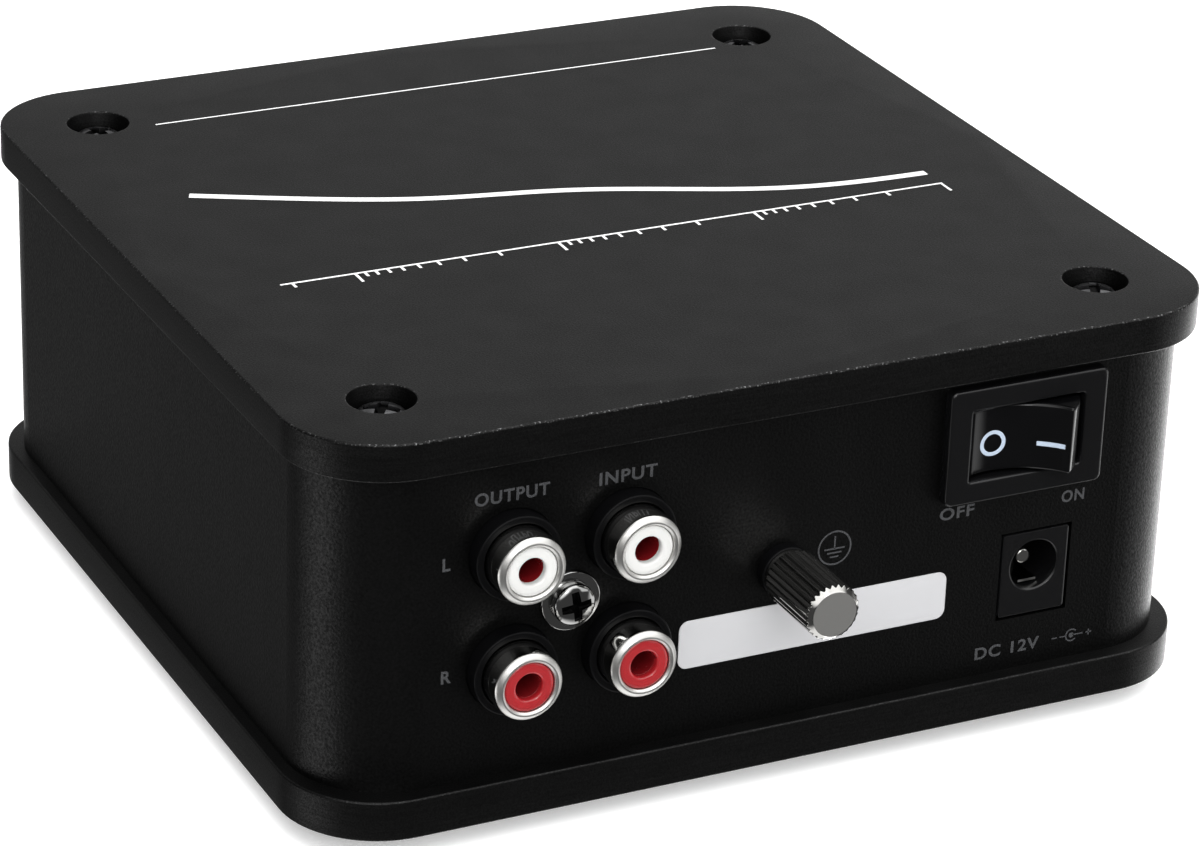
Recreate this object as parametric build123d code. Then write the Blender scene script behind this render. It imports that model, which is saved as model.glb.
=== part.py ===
"""Phono preamp: a two-plate aluminium box with a quad phono-jack block, a ground post,
a rocker switch and a DC inlet on its rear wall, a circuit board inside and a sprung
selector button and a power light in front. Millimetres, +Z up, rear wall towards +Y.
"""
from build123d import *
from math import cos, pi, radians, sin, sqrt
import os

os.makedirs("parts", exist_ok=True)

# --- driving dimensions: the box -------------------------------------------------------
plate_width = 116.0
plate_depth = 115.0
plate_radius = 12.0
plate_bevel = 0.3
top_thickness = 4.6
base_thickness = 5.0
side_inset = 1.6          # plate edge to sleeve, at the sides
end_inset = 2.0           # plate edge to sleeve, front and rear
sleeve_height = 39.4
sleeve_radius = 11.6
sleeve_wall = 2.5
screw_inset = 12.2        # plate edge to screw axis
counterbore_radius = 3.9
counterbore_depth = 3.4
boss_radius = 3.6
boss_web = 3.0
foot_radius = 6.0
foot_height = 3.0
foot_draft = 0.8
foot_inset = 24.0

# --- driving dimensions: screws --------------------------------------------------------
screw_radius = 1.5
screw_length = 10.0
screw_head_radius = 2.9
screw_head_height = 2.0
head_rim_share = 0.45     # straight rim of a pan head, as a share of its height
recess_width = 0.7
recess_span_share = 1.15  # cross recess length, in head radii
recess_depth_share = 0.6  # cross recess depth, in head heights
through_gap = 0.2         # radial gap of a plain hole round a screw
thread_gap = 0.05         # radial gap of a tapped hole round its screw
tap_spare = 1.0           # tapped depth past the screw's tip
fit_gap = 0.02            # gap round a part that is pushed into its seat

# --- driving dimensions: circuit board -------------------------------------------------
board_thickness = 1.6
board_gap = 0.6           # board edge to the sleeve's inner wall
board_notch_gap = 1.0     # notch edge to a corner boss
standoff_height = 5.4
standoff_flats = 5.5
standoff_shank_radius = 2.1
standoff_shank_depth = 2.0
standoff_from_side = 12.4
standoff_rear_from_middle = 28.0
standoff_front_from_middle = 30.0
board_screw_length = 4.5
board_screw_head_radius = 2.6
board_screw_head_height = 1.8
lead_hole_gap = 0.25
lead_below_board = 1.2

# --- driving dimensions: phono jacks ---------------------------------------------------
jack_from_side = 29.2     # sleeve side to the middle of the four jacks
jack_pitch_x = 14.2
jack_pitch_z = 14.3
jack_block_width = 27.0
jack_block_height = 27.2
jack_block_depth = 12.0
jack_collar_radius = 5.2
jack_collar_proud = 2.1
jack_collar_gap = 0.1
jack_shell_radius = 4.15
jack_shell_mouth = 3.1
jack_shell_reach = 5.85   # shell end beyond the rear wall's outer face
jack_shell_seat = 3.5     # how far the shell sits in the block behind the wall
jack_lip_round = 0.45
jack_bore_radius = 1.65
jack_bore_funnel = 0.4
jack_face_recess = 0.2
jack_contact_radius = 2.1
jack_contact_length = 6.0
jack_tail_width = 1.0
jack_tail_thickness = 0.5
jack_tail_offset = 2.6
jack_screw_radius = 1.5
jack_screw_length = 9.0
jack_flange_radius = 3.65
jack_flange_thickness = 0.8
jack_screw_head_radius = 2.55
jack_screw_head_height = 1.7

# --- driving dimensions: ground post ---------------------------------------------------
ground_x = 0.1
ground_above_board = 12.3
stud_radius = 2.0
stud_inside = 9.5
stud_outside = 8.6
stud_pitch = 0.7
stud_gap = 0.05
spacer_radius = 3.2
spacer_thickness = 1.5
washer_radius = 3.05
washer_thickness = 0.6
washer_bore_gap = 0.1
seat_gap = 0.05
thumb_radius = 3.4
thumb_root_radius = 3.14
thumb_face_radius = 2.85
thumb_bevel = 1.2
thumb_length = 10.45
thumb_teeth = 27
thumb_bore_spare = 1.0
lock_nut_flats = 7.0
lock_nut_height = 3.2
tag_radius = 3.9
tag_width = 3.6
tag_thickness = 0.5

# --- driving dimensions: rocker switch -------------------------------------------------
switch_from_side = 25.7
switch_below_top = 8.4
bezel_width = 21.0
bezel_height = 14.6
bezel_proud = 1.5
bezel_round = 0.8
switch_body_width = 19.0
switch_body_height = 12.6
switch_body_gap = 0.15
switch_body_depth = 12.2
mouth_lip = 1.2           # thickness of the frame round the mouth
mouth_gap = 0.2           # rocker's curved ends to the mouth's edge
mouth_height = 9.0
pivot_depth = 2.0         # pivot axis behind the wall's outer face
rocker_radius = 7.6
rocker_corner_angle = 39.5
rocker_saddle = 2.9
rocker_back = 1.8
rocker_height = 8.4
rocker_tilt = 18.0
rocker_side_gap = 0.35
trunnion_radius = 1.2
trunnion_gap = 0.05
trunnion_length = 0.8
plunger_radius = 1.0
plunger_reach = 4.9
seesaw_depth = 6.3        # seesaw axis behind the rocker's axis
seesaw_half_length = 5.0
seesaw_half_width = 1.1
seesaw_strip = 0.4
seesaw_tilt = 8.0
knuckle_radius = 0.95
knuckle_pin_radius = 0.5
knuckle_pin_gap = 0.05
ear_half_width = 0.8
ear_thickness = 1.0
ear_gap = 0.3
blade_height = 4.8
blade_thickness = 0.8
blade_reach = 6.0         # terminal beyond the switch's back
live_offset = 4.2
live_contact_gap = 0.3
wire_radius = 0.8
wire_run = 5.0
wire_bend = 2.4

# --- driving dimensions: DC inlet ------------------------------------------------------
dc_from_side = 22.5
dc_width = 9.0
dc_height = 10.8
dc_depth = 14.4
dc_gap = 0.3
dc_bore_radius = 3.15
dc_bore_above_board = 6.3
dc_bore_depth = 9.5
dc_pin_radius = 1.05
dc_pin_recess = 2.4
dc_leaf_width = 2.4
dc_leaf_thickness = 0.3
dc_leaf_recess = 1.4
dc_leaf_below_axis = 2.45
dc_leaf_tail_from_back = 3.0
dc_tail_thickness = 0.5

# --- driving dimensions: rear label ----------------------------------------------------
label_from_collar = 1.8
label_from_inlet = 7.5
label_height = 6.1
label_thickness = 0.15
label_round = 1.2
label_above_board = 4.75

# --- driving dimensions: selector and power light --------------------------------------
selector_x = 25.0
selector_above_board = 6.0
selector_body_width = 8.5
selector_body_height = 9.0
selector_body_depth = 12.0
selector_body_setback = 6.0
selector_stem = 2.4
selector_stem_gap = 0.08
selector_stem_seat = 7.0
selector_travel = 2.5
button_radius = 3.0
button_gap = 0.3
button_proud = 3.4
button_length = 8.4
button_round = 0.5
light_x = -25.0
light_radius = 1.5
light_gap = 0.1
light_proud = 1.0
light_length = 6.0
light_seat = 2.0
light_holder = 5.0

# --- driving dimensions: parts on the board --------------------------------------------
opamp_length = 9.6
opamp_width = 6.4
opamp_thickness = 3.3
opamp_lift = 0.5
opamp_pin_pitch = 2.54
opamp_pin_row = 7.62
opamp_pin_width = 0.5
opamp_pin_rise = 2.2
opamp_first_x = 15.0
opamp_spacing = 18.0
opamp_y = -4.0
film_length = 13.0
film_width = 6.0
film_height = 11.0
film_y = 14.0
film_round = 0.6
reservoir_radius = 6.0
reservoir_height = 18.0
reservoir_round = 0.7
reservoir_from_edge = 19.3
reservoir_spacing = 15.5
reservoir_y = 8.0
regulator_width = 10.0
regulator_thickness = 4.4
regulator_height = 9.0
regulator_tab_height = 15.4
regulator_tab_thickness = 1.3
regulator_tab_hole = 1.8
regulator_from_edge = 21.3
regulator_y = -14.0
inductor_radius = 7.5
inductor_hole_radius = 3.2
inductor_height = 6.5
inductor_round = 1.5
inductor_from_edge = 42.3
inductor_y = -17.0
resistor_radius = 1.2
resistor_length = 6.4
resistor_round = 0.4
resistor_count = 8
resistor_spacing = 4.4
resistor_first_x = 9.0
resistor_y = -20.0

# --- places worked out from the sizes --------------------------------------------------
sleeve_width = plate_width - 2 * side_inset
sleeve_depth = plate_depth - 2 * end_inset
side_x = sleeve_width / 2
panel_y = sleeve_depth / 2
inner_y = panel_y - sleeve_wall
base_top = foot_height + base_thickness
sleeve_top = base_top + sleeve_height
total_height = sleeve_top + top_thickness
board_bottom = base_top + standoff_height
board_top = board_bottom + board_thickness
board_width = sleeve_width - 2 * (sleeve_wall + board_gap)
board_depth = sleeve_depth - 2 * (sleeve_wall + board_gap)
supply_edge = -board_width / 2
tail_bottom = board_bottom - lead_below_board

jack_x = side_x - jack_from_side
jack_z = board_top + jack_block_height / 2
switch_x = switch_from_side - side_x
switch_z = sleeve_top - switch_below_top
pivot_y = panel_y - pivot_depth
dc_x = dc_from_side - side_x
dc_z = board_top + dc_bore_above_board
ground_z = board_top + ground_above_board
label_z = board_top + label_above_board
label_end = jack_x - jack_pitch_x / 2 - jack_collar_radius - label_from_collar
label_start = dc_x + dc_width / 2 + label_from_inlet
selector_z = board_top + selector_above_board

washer_base = spacer_thickness + seat_gap
thumb_base = washer_base + washer_thickness + seat_gap
rear_reach = panel_y + thumb_base + thumb_length
front_reach = panel_y + button_proud
frame_shift = Pos(0, -(rear_reach - front_reach) / 2, 0)

BOTTOM = (Align.CENTER, Align.CENTER, Align.MIN)
screw_places = [
    (sx * (plate_width / 2 - screw_inset), sy * (plate_depth / 2 - screw_inset))
    for sx in (-1, 1) for sy in (-1, 1)
]
jack_places = {
    f"{role}_{side}": (jack_x + sx * jack_pitch_x / 2, jack_z + sz * jack_pitch_z / 2)
    for role, sx in (("output", 1), ("input", -1)) for side, sz in (("left", 1), ("right", -1))
}

nodes = {}


# --- helpers ---------------------------------------------------------------------------
def rod(radius, low, high):
    """Cylinder along Z between two heights."""
    return Pos(0, 0, low) * Cylinder(radius, high - low, align=BOTTOM)


def ring(outer, inner, low, high):
    """Tube along Z between two heights."""
    return rod(outer, low, high) - rod(inner, low - 1, high + 1)


def slab(x, y, z):
    """Box between the two limits given for each axis."""
    middle = [(low + high) / 2 for low, high in (x, y, z)]
    return Pos(*middle) * Box(x[1] - x[0], y[1] - y[0], z[1] - z[0])


def rounded_prism(width, depth, radius, low, high):
    return Pos(0, 0, low) * extrude(RectangleRounded(width, depth, radius), amount=high - low)


def turned(*outline):
    """Solid of revolution about Z from (radius, height) points."""
    return revolve(Plane.XZ * make_face(Polyline(*outline, close=True)), Axis.Z)


def hexagon(flats, low, high):
    shape = RegularPolygon(flats / sqrt(3), 6)
    return Pos(0, 0, low) * extrude(shape, amount=high - low)


def on_rear(x, z):
    """Place whose local +Z points out of the rear wall, from its outer face."""
    return Pos(x, panel_y, z) * Rot(-90, 0, 0)


def on_front(x, z):
    """Place whose local +Z points out of the front wall, from its outer face."""
    return Pos(x, -panel_y, z) * Rot(90, 0, 0)


def pan_screw(radius, length, head_radius, head_height):
    """Cross-recess pan-head screw, head seated at height 0 and pointing up."""
    rim = head_height * head_rim_share
    crown = ((head_radius * 0.6, rim + (head_height - rim) * 0.8))
    profile = [
        Line((0, 0), (head_radius, 0)),
        Line((head_radius, 0), (head_radius, rim)),
        ThreePointArc((head_radius, rim), crown, (0, head_height)),
        Line((0, head_height), (0, 0)),
    ]
    head = revolve(Plane.XZ * make_face(profile), Axis.Z)
    span = head_radius * recess_span_share
    depth = head_height * recess_depth_share
    for turn in (0, 90):
        head -= Pos(0, 0, head_height - depth) * Rot(0, 0, turn) * Box(
            span, recess_width, head_height, align=BOTTOM)
    return head + rod(radius, -length, 0)


# --- box -------------------------------------------------------------------------------
def plate(thickness):
    """Plate lying on height 0, counterbored from above at its four corners."""
    body = rounded_prism(plate_width, plate_depth, plate_radius, 0, thickness)
    rims = body.edges().group_by(Axis.Z)
    body = chamfer(rims[0] + rims[-1], plate_bevel)
    for x, y in screw_places:
        body -= Pos(x, y, 0) * rod(screw_radius + through_gap, -1, thickness + 1)
        body -= Pos(x, y, 0) * rod(counterbore_radius, thickness - counterbore_depth, thickness + 1)
    return body


def corner_boss(x, y):
    """Screw boss with its web to the sleeve's corner."""
    outward = 45 * (1 if x * y > 0 else -1) + (0 if x > 0 else 180)
    web = Pos(x, y, base_top) * Rot(0, 0, outward) * Box(
        sleeve_radius, boss_web, sleeve_height, align=(Align.MIN, Align.CENTER, Align.MIN))
    return web + Pos(x, y, 0) * rod(boss_radius, base_top, sleeve_top)


def body_sleeve():
    outer = rounded_prism(sleeve_width, sleeve_depth, sleeve_radius, base_top, sleeve_top)
    inner = rounded_prism(sleeve_width - 2 * sleeve_wall, sleeve_depth - 2 * sleeve_wall,
                          sleeve_radius - sleeve_wall, base_top - 1, sleeve_top + 1)
    body = outer - inner
    for x, y in screw_places:
        body += corner_boss(x, y) & outer
    tap = screw_radius + thread_gap
    top_tap = screw_length - (top_thickness - counterbore_depth) + tap_spare
    base_tap = screw_length - (base_thickness - counterbore_depth) + tap_spare
    for x, y in screw_places:
        body -= Pos(x, y, 0) * rod(tap, sleeve_top - top_tap, sleeve_top + 1)
        body -= Pos(x, y, 0) * rod(tap, base_top - 1, base_top + base_tap)
    for x, z in jack_places.values():
        body -= on_rear(x, z) * rod(jack_collar_radius + jack_collar_gap, -sleeve_wall - 1, 1)
    body -= on_rear(jack_x, jack_z) * rod(jack_screw_radius + through_gap, -sleeve_wall - 1, 1)
    body -= on_rear(ground_x, ground_z) * rod(stud_radius + stud_gap, -sleeve_wall - 1, 1)
    cut = (inner_y - 1, panel_y + 1)
    half_width = switch_body_width / 2 + switch_body_gap
    half_height = switch_body_height / 2 + switch_body_gap
    body -= slab((switch_x - half_width, switch_x + half_width), cut,
                 (switch_z - half_height, switch_z + half_height))
    body -= slab((dc_x - dc_width / 2 - dc_gap, dc_x + dc_width / 2 + dc_gap), cut,
                 (board_top - dc_gap, board_top + dc_height + dc_gap))
    body -= on_front(selector_x, selector_z) * rod(button_radius + button_gap, -sleeve_wall - 1, 1)
    body -= on_front(light_x, selector_z) * rod(light_radius + light_gap, -sleeve_wall - 1, 1)
    return body


def box_parts():
    base = Pos(0, 0, base_top) * Rot(180, 0, 0) * plate(base_thickness)
    for x, y in standoff_places:
        seat = standoff_shank_radius + fit_gap
        base -= Pos(x, y, 0) * rod(seat, base_top - standoff_shank_depth, base_top + 1)
    nodes["base_plate"] = base
    nodes["body_sleeve"] = body_sleeve()
    nodes["top_plate"] = Pos(0, 0, sleeve_top) * plate(top_thickness)
    screw = pan_screw(screw_radius, screw_length, screw_head_radius, screw_head_height)
    seat_top = total_height - counterbore_depth
    seat_base = foot_height + counterbore_depth
    nodes["top_screws"] = Compound([Pos(x, y, seat_top) * screw for x, y in screw_places])
    nodes["base_screws"] = Compound(
        [Pos(x, y, seat_base) * Rot(180, 0, 0) * screw for x, y in screw_places])
    foot = turned((0, 0), (foot_radius - foot_draft, 0), (foot_radius, foot_height), (0, foot_height))
    for end, sy in (("front", -1), ("rear", 1)):
        for side, sx in (("left", -1), ("right", 1)):
            x = sx * (plate_width / 2 - foot_inset)
            y = sy * (plate_depth / 2 - foot_inset)
            nodes[f"foot_{end}_{side}"] = Pos(x, y, 0) * foot


# --- circuit board ---------------------------------------------------------------------
standoff_places = [
    (sx * (side_x - standoff_from_side), y)
    for sx in (-1, 1) for y in (standoff_rear_from_middle, -standoff_front_from_middle)
]


def board_parts(lead_holes):
    """Board on its standoffs; lead_holes lists (x, y, width, depth) of each tail."""
    board = slab((-board_width / 2, board_width / 2), (-board_depth / 2, board_depth / 2),
                 (board_bottom, board_top))
    notch = boss_radius + board_notch_gap
    for x, y in screw_places:
        across = sorted((x - notch * (1 if x > 0 else -1), x * 2))
        along = sorted((y - notch * (1 if y > 0 else -1), y * 2))
        board -= slab(across, along, (board_bottom - 1, board_top + 1))
    for x, y in standoff_places:
        board -= Pos(x, y, 0) * rod(screw_radius + through_gap, board_bottom - 1, board_top + 1)
    for x, y, width, depth in lead_holes:
        half_x = width / 2 + lead_hole_gap
        half_y = depth / 2 + lead_hole_gap
        board -= slab((x - half_x, x + half_x), (y - half_y, y + half_y),
                      (board_bottom - 1, board_top + 1))
    nodes["circuit_board"] = board
    post = hexagon(standoff_flats, base_top, board_bottom)
    post += rod(standoff_shank_radius, base_top - standoff_shank_depth + fit_gap, base_top)
    post -= rod(screw_radius + thread_gap, base_top - standoff_shank_depth - 1, board_bottom + 1)
    for number, (x, y) in enumerate(standoff_places, 1):
        nodes[f"board_standoff_{number}"] = Pos(x, y, 0) * post
    screw = pan_screw(screw_radius, board_screw_length, board_screw_head_radius,
                      board_screw_head_height)
    nodes["board_screws"] = Compound([Pos(x, y, board_top) * screw for x, y in standoff_places])


# --- phono jacks -----------------------------------------------------------------------
def jack_tail_offset_of(side):
    return jack_tail_offset if side == "left" else -jack_tail_offset


def jack_parts():
    """Quad block with its shells, insulators, contacts and screw. Returns the tail holes."""
    front = -sleeve_wall
    back = front - jack_block_depth
    shell_back = front - jack_shell_seat
    contact_front = shell_back + jack_contact_length / 2
    contact_back = contact_front - jack_contact_length
    block = slab((jack_x - jack_block_width / 2, jack_x + jack_block_width / 2),
                 (panel_y + back, panel_y + front),
                 (jack_z - jack_block_height / 2, jack_z + jack_block_height / 2))
    block -= on_rear(jack_x, jack_z) * rod(jack_screw_radius + thread_gap,
                                            -jack_screw_length - tap_spare, 0)
    section = Pos((jack_shell_radius + jack_shell_mouth) / 2, (jack_shell_reach + shell_back) / 2) * (
        Rectangle(jack_shell_radius - jack_shell_mouth, jack_shell_reach - shell_back))
    section = fillet(section.vertices().group_by(Axis.Y)[-1], jack_lip_round)
    shell = revolve(Plane.XZ * section, Axis.Z)
    face = jack_shell_reach - jack_face_recess
    plug = jack_shell_mouth - fit_gap
    insulator = turned((jack_bore_radius, shell_back), (plug, shell_back), (plug, face),
                       (jack_bore_radius + jack_bore_funnel, face),
                       (jack_bore_radius, face - jack_bore_funnel))
    insulator -= rod(jack_contact_radius + fit_gap, shell_back - 1, contact_front + fit_gap)
    contact = rod(jack_contact_radius, contact_back, contact_front)
    contact -= rod(jack_bore_radius, contact_back + jack_tail_thickness, contact_front + 1)
    tail_y = panel_y + back - jack_tail_thickness / 2
    holes = []
    for name, (x, z) in jack_places.items():
        here = on_rear(x, z)
        block += here * rod(jack_collar_radius, front, jack_collar_proud)
    for name, (x, z) in jack_places.items():
        here = on_rear(x, z)
        block -= here * rod(jack_shell_radius + fit_gap, shell_back, jack_collar_proud + 1)
        block -= here * rod(jack_contact_radius + fit_gap, contact_back, shell_back + 1)
        block -= here * rod(jack_tail_thickness + fit_gap, back - 1, contact_back + 1)
        nodes[f"jack_shell_{name}"] = here * shell
        nodes[f"jack_insulator_{name}"] = here * insulator
        offset = jack_tail_offset_of(name.split("_")[1])
        tail_x = x + offset
        lug_x = sorted((x - jack_tail_width / 2, tail_x + jack_tail_width / 2)) if offset > 0 else (
            tail_x - jack_tail_width / 2, x + jack_tail_width / 2)
        tail_span = (panel_y + back - jack_tail_thickness, panel_y + back)
        whole = here * (contact + rod(jack_tail_thickness, back, contact_back))
        whole += slab(lug_x, tail_span, (z - jack_tail_width / 2, z + jack_tail_width / 2))
        whole += slab((tail_x - jack_tail_width / 2, tail_x + jack_tail_width / 2), tail_span,
                      (tail_bottom, z + jack_tail_width / 2))
        nodes[f"jack_contact_{name}"] = whole
        holes.append((tail_x, tail_y, jack_tail_width, jack_tail_thickness))
    nodes["jack_block"] = block
    screw = pan_screw(jack_screw_radius, jack_screw_length + jack_flange_thickness,
                      jack_screw_head_radius, jack_screw_head_height)
    screw = Pos(0, 0, jack_flange_thickness) * screw + rod(jack_flange_radius, 0, jack_flange_thickness)
    nodes["jack_screw"] = on_rear(jack_x, jack_z) * screw
    return holes


# --- ground post -----------------------------------------------------------------------
def thumb_nut():
    """Blind knurled nut, its open end at height 0."""
    step = pi / thumb_teeth
    rim = [((thumb_radius if n % 2 else thumb_root_radius) * cos(n * step),
            (thumb_radius if n % 2 else thumb_root_radius) * sin(n * step))
           for n in range(2 * thumb_teeth)]
    body = extrude(make_face(Polyline(*rim, close=True)), amount=thumb_length)
    shoulder = thumb_length - thumb_bevel
    body &= turned((0, 0), (thumb_root_radius, 0), (thumb_radius, thumb_radius - thumb_root_radius),
                   (thumb_radius, shoulder), (thumb_face_radius, thumb_length), (0, thumb_length))
    bore = stud_outside - thumb_base + thumb_bore_spare
    return body - rod(stud_radius + stud_gap, -1, bore)


def ground_parts():
    here = on_rear(ground_x, ground_z)
    nodes["ground_stud"] = here * rod(stud_radius, -stud_inside, stud_outside)
    nodes["ground_spacer"] = here * ring(spacer_radius, stud_radius + stud_gap, 0, spacer_thickness)
    nodes["ground_washer"] = here * ring(washer_radius, stud_radius + washer_bore_gap, washer_base,
                                         washer_base + washer_thickness)
    nodes["ground_thumb_nut"] = here * Pos(0, 0, thumb_base) * thumb_nut()
    tag_back = -sleeve_wall - tag_thickness
    tag = here * ring(tag_radius, stud_radius + stud_gap, tag_back, -sleeve_wall)
    tag += slab((ground_x - tag_width / 2, ground_x + tag_width / 2),
                (panel_y + tag_back, inner_y), (board_top, ground_z - stud_radius - tag_thickness))
    nodes["ground_tag"] = tag
    nut = hexagon(lock_nut_flats, tag_back - lock_nut_height, tag_back)
    nut -= rod(stud_radius + stud_gap, tag_back - lock_nut_height - 1, tag_back + 1)
    nodes["ground_lock_nut"] = here * nut


# --- rocker switch ---------------------------------------------------------------------
def switch_slab(x, depth, z):
    """Box measured from the rocker's axis: across, outward from the axis, and up."""
    return slab([switch_x + v for v in x], [pivot_y + v for v in depth], [switch_z + v for v in z])


def switch_rod(radius, x, depth, half_length):
    """Upright round bar at a place measured from the rocker's axis."""
    return Pos(switch_x + x, pivot_y + depth, switch_z) * rod(radius, -half_length, half_length)


def rocker():
    """Rocker about its axis, tilted to the rest (off) position."""
    corner = radians(rocker_corner_angle)
    tip = (rocker_radius * cos(corner), rocker_radius * sin(corner))
    heel = (sqrt(rocker_radius ** 2 - rocker_back ** 2), -rocker_back)
    outline = [
        ThreePointArc((-tip[0], tip[1]), (0, rocker_saddle), tip),
        ThreePointArc(tip, (rocker_radius, 0), heel),
        Line(heel, (-heel[0], heel[1])),
        ThreePointArc((-heel[0], heel[1]), (-rocker_radius, 0), (-tip[0], tip[1])),
    ]
    body = extrude(make_face(outline), amount=rocker_height / 2, both=True)
    body += rod(trunnion_radius, -mouth_height / 2 - trunnion_length, mouth_height / 2 + trunnion_length)
    body += Rot(90, 0, 0) * rod(plunger_radius, rocker_back - 1, plunger_reach)
    return Pos(switch_x, pivot_y, switch_z) * Rot(0, 0, -rocker_tilt) * body


def switch_parts():
    half_h = switch_body_height / 2
    back = pivot_depth - switch_body_depth
    bezel_front = pivot_depth + bezel_proud
    bezel = switch_slab((-bezel_width / 2, bezel_width / 2), (pivot_depth, bezel_front),
                        (-bezel_height / 2, bezel_height / 2))
    bezel = fillet(bezel.edges().filter_by(Axis.Y), bezel_round)
    housing = bezel + switch_slab((-switch_body_width / 2, switch_body_width / 2),
                                  (back, pivot_depth), (-half_h, half_h))
    mouth = (-mouth_height / 2, mouth_height / 2)
    lip = bezel_front - mouth_lip
    mouth_half = sqrt(rocker_radius ** 2 - lip ** 2) + mouth_gap
    swing = rocker_radius + rocker_side_gap
    floor = -seesaw_depth - knuckle_radius - ear_gap - ear_thickness
    housing -= switch_slab((-mouth_half, mouth_half), (0, bezel_front + 1), mouth)
    housing -= switch_slab((-swing, swing), (floor, lip), mouth)
    housing -= switch_rod(trunnion_radius + trunnion_gap, 0, 0,
                          mouth_height / 2 + trunnion_length + trunnion_gap)
    blade = (-blade_height / 2, blade_height / 2)
    blade_end = back - blade_reach
    common_x = (-blade_thickness / 2, blade_thickness / 2)
    live_x = [live_offset + v for v in common_x]
    for span in (common_x, live_x):
        slot = (span[0] - fit_gap, span[1] + fit_gap)
        slot_height = (blade[0] - fit_gap, blade[1] + fit_gap)
        housing -= switch_slab(slot, (back - 1, floor + 1), slot_height)
    nodes["switch_housing"] = housing
    nodes["switch_rocker"] = rocker()

    ear_low = seesaw_half_width + ear_gap
    ears_top = -seesaw_depth + ear_half_width
    saddle = -seesaw_depth - knuckle_radius - ear_gap
    common = switch_slab(common_x, (blade_end, saddle), blade)
    for sign in (-1, 1):
        ear = sorted((sign * ear_low, sign * (ear_low + ear_thickness)))
        common += switch_slab((-ear_half_width, ear_half_width), (saddle, ears_top), ear)
    common += switch_slab((-ear_half_width, ear_half_width), (floor, saddle),
                          (-ear_low - ear_thickness, ear_low + ear_thickness))
    common += switch_rod(knuckle_pin_radius, 0, -seesaw_depth, ear_low + ear_thickness)
    nodes["switch_common"] = common

    on_angle = radians(seesaw_tilt)
    strip_under = knuckle_radius - seesaw_strip
    live_top = -seesaw_depth - live_offset * sin(on_angle) + strip_under * cos(on_angle)
    live_top -= live_contact_gap
    nodes["switch_live"] = switch_slab(live_x, (blade_end, live_top), blade)

    strip = slab((-seesaw_half_length, seesaw_half_length), (strip_under, knuckle_radius),
                 (-seesaw_half_width, seesaw_half_width))
    seesaw = strip + rod(knuckle_radius, -seesaw_half_width, seesaw_half_width)
    seesaw -= rod(knuckle_pin_radius + knuckle_pin_gap, -seesaw_half_width - 1, seesaw_half_width + 1)
    place = Pos(switch_x, pivot_y - seesaw_depth, switch_z)
    nodes["switch_seesaw"] = place * Rot(0, 0, seesaw_tilt) * seesaw

    wires = []
    for x in (switch_x, switch_x + live_offset):
        start = (x, pivot_y + blade_end, switch_z)
        corner = (x, start[1] - wire_run, switch_z)
        path = FilletPolyline(start, corner, (x, corner[1], board_top), radius=wire_bend)
        wires.append(sweep(Plane(origin=start, z_dir=(0, -1, 0)) * Circle(wire_radius), path=path))
    nodes["switch_leads"] = Compound(wires)


# --- DC inlet --------------------------------------------------------------------------
def dc_parts():
    """DC inlet with its pin and leaf. Returns the tail holes."""
    here = on_rear(dc_x, dc_z)
    back_y = panel_y - dc_depth
    housing = slab((dc_x - dc_width / 2, dc_x + dc_width / 2), (back_y, panel_y),
                   (board_top, board_top + dc_height))
    housing -= here * rod(dc_bore_radius, -dc_bore_depth, 1)
    housing -= here * rod(dc_pin_radius + fit_gap, -dc_depth - 1, 0)
    pin = here * rod(dc_pin_radius, -dc_depth - dc_tail_thickness, -dc_pin_recess)
    pin = fillet(pin.edges().group_by(Axis.Y)[-1], dc_pin_radius * head_rim_share)
    tail = (back_y - dc_tail_thickness, back_y)
    pin += slab((dc_x - dc_pin_radius, dc_x + dc_pin_radius), tail, (tail_bottom, dc_z))
    nodes["dc_pin"] = pin
    leaf_z = dc_z - dc_leaf_below_axis
    leaf_x = (dc_x - dc_leaf_width / 2, dc_x + dc_leaf_width / 2)
    tail_y = (back_y + dc_leaf_tail_from_back, back_y + dc_leaf_tail_from_back + dc_leaf_thickness)
    leaf = slab(leaf_x, (tail_y[0], panel_y - dc_leaf_recess), (leaf_z - dc_leaf_thickness, leaf_z))
    leaf += slab(leaf_x, tail_y, (tail_bottom, leaf_z))
    slot_x = (leaf_x[0] - fit_gap, leaf_x[1] + fit_gap)
    slot_low = tail_y[0] - fit_gap
    housing -= slab(slot_x, (slot_low, panel_y - dc_bore_depth + 1),
                    (leaf_z - dc_leaf_thickness - fit_gap, leaf_z + fit_gap))
    housing -= slab(slot_x, (slot_low, tail_y[1] + fit_gap), (board_top - 1, leaf_z + fit_gap))
    nodes["dc_housing"] = housing
    nodes["dc_leaf"] = leaf
    return [(dc_x, back_y - dc_tail_thickness / 2, 2 * dc_pin_radius, dc_tail_thickness),
            (dc_x, tail_y[0] + dc_leaf_thickness / 2, dc_leaf_width, dc_leaf_thickness)]


def label_part():
    outline = RectangleRounded(label_end - label_start, label_height, label_round)
    sheet = extrude(outline, amount=label_thickness)
    nodes["rear_label"] = on_rear((label_start + label_end) / 2, label_z) * sheet


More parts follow.
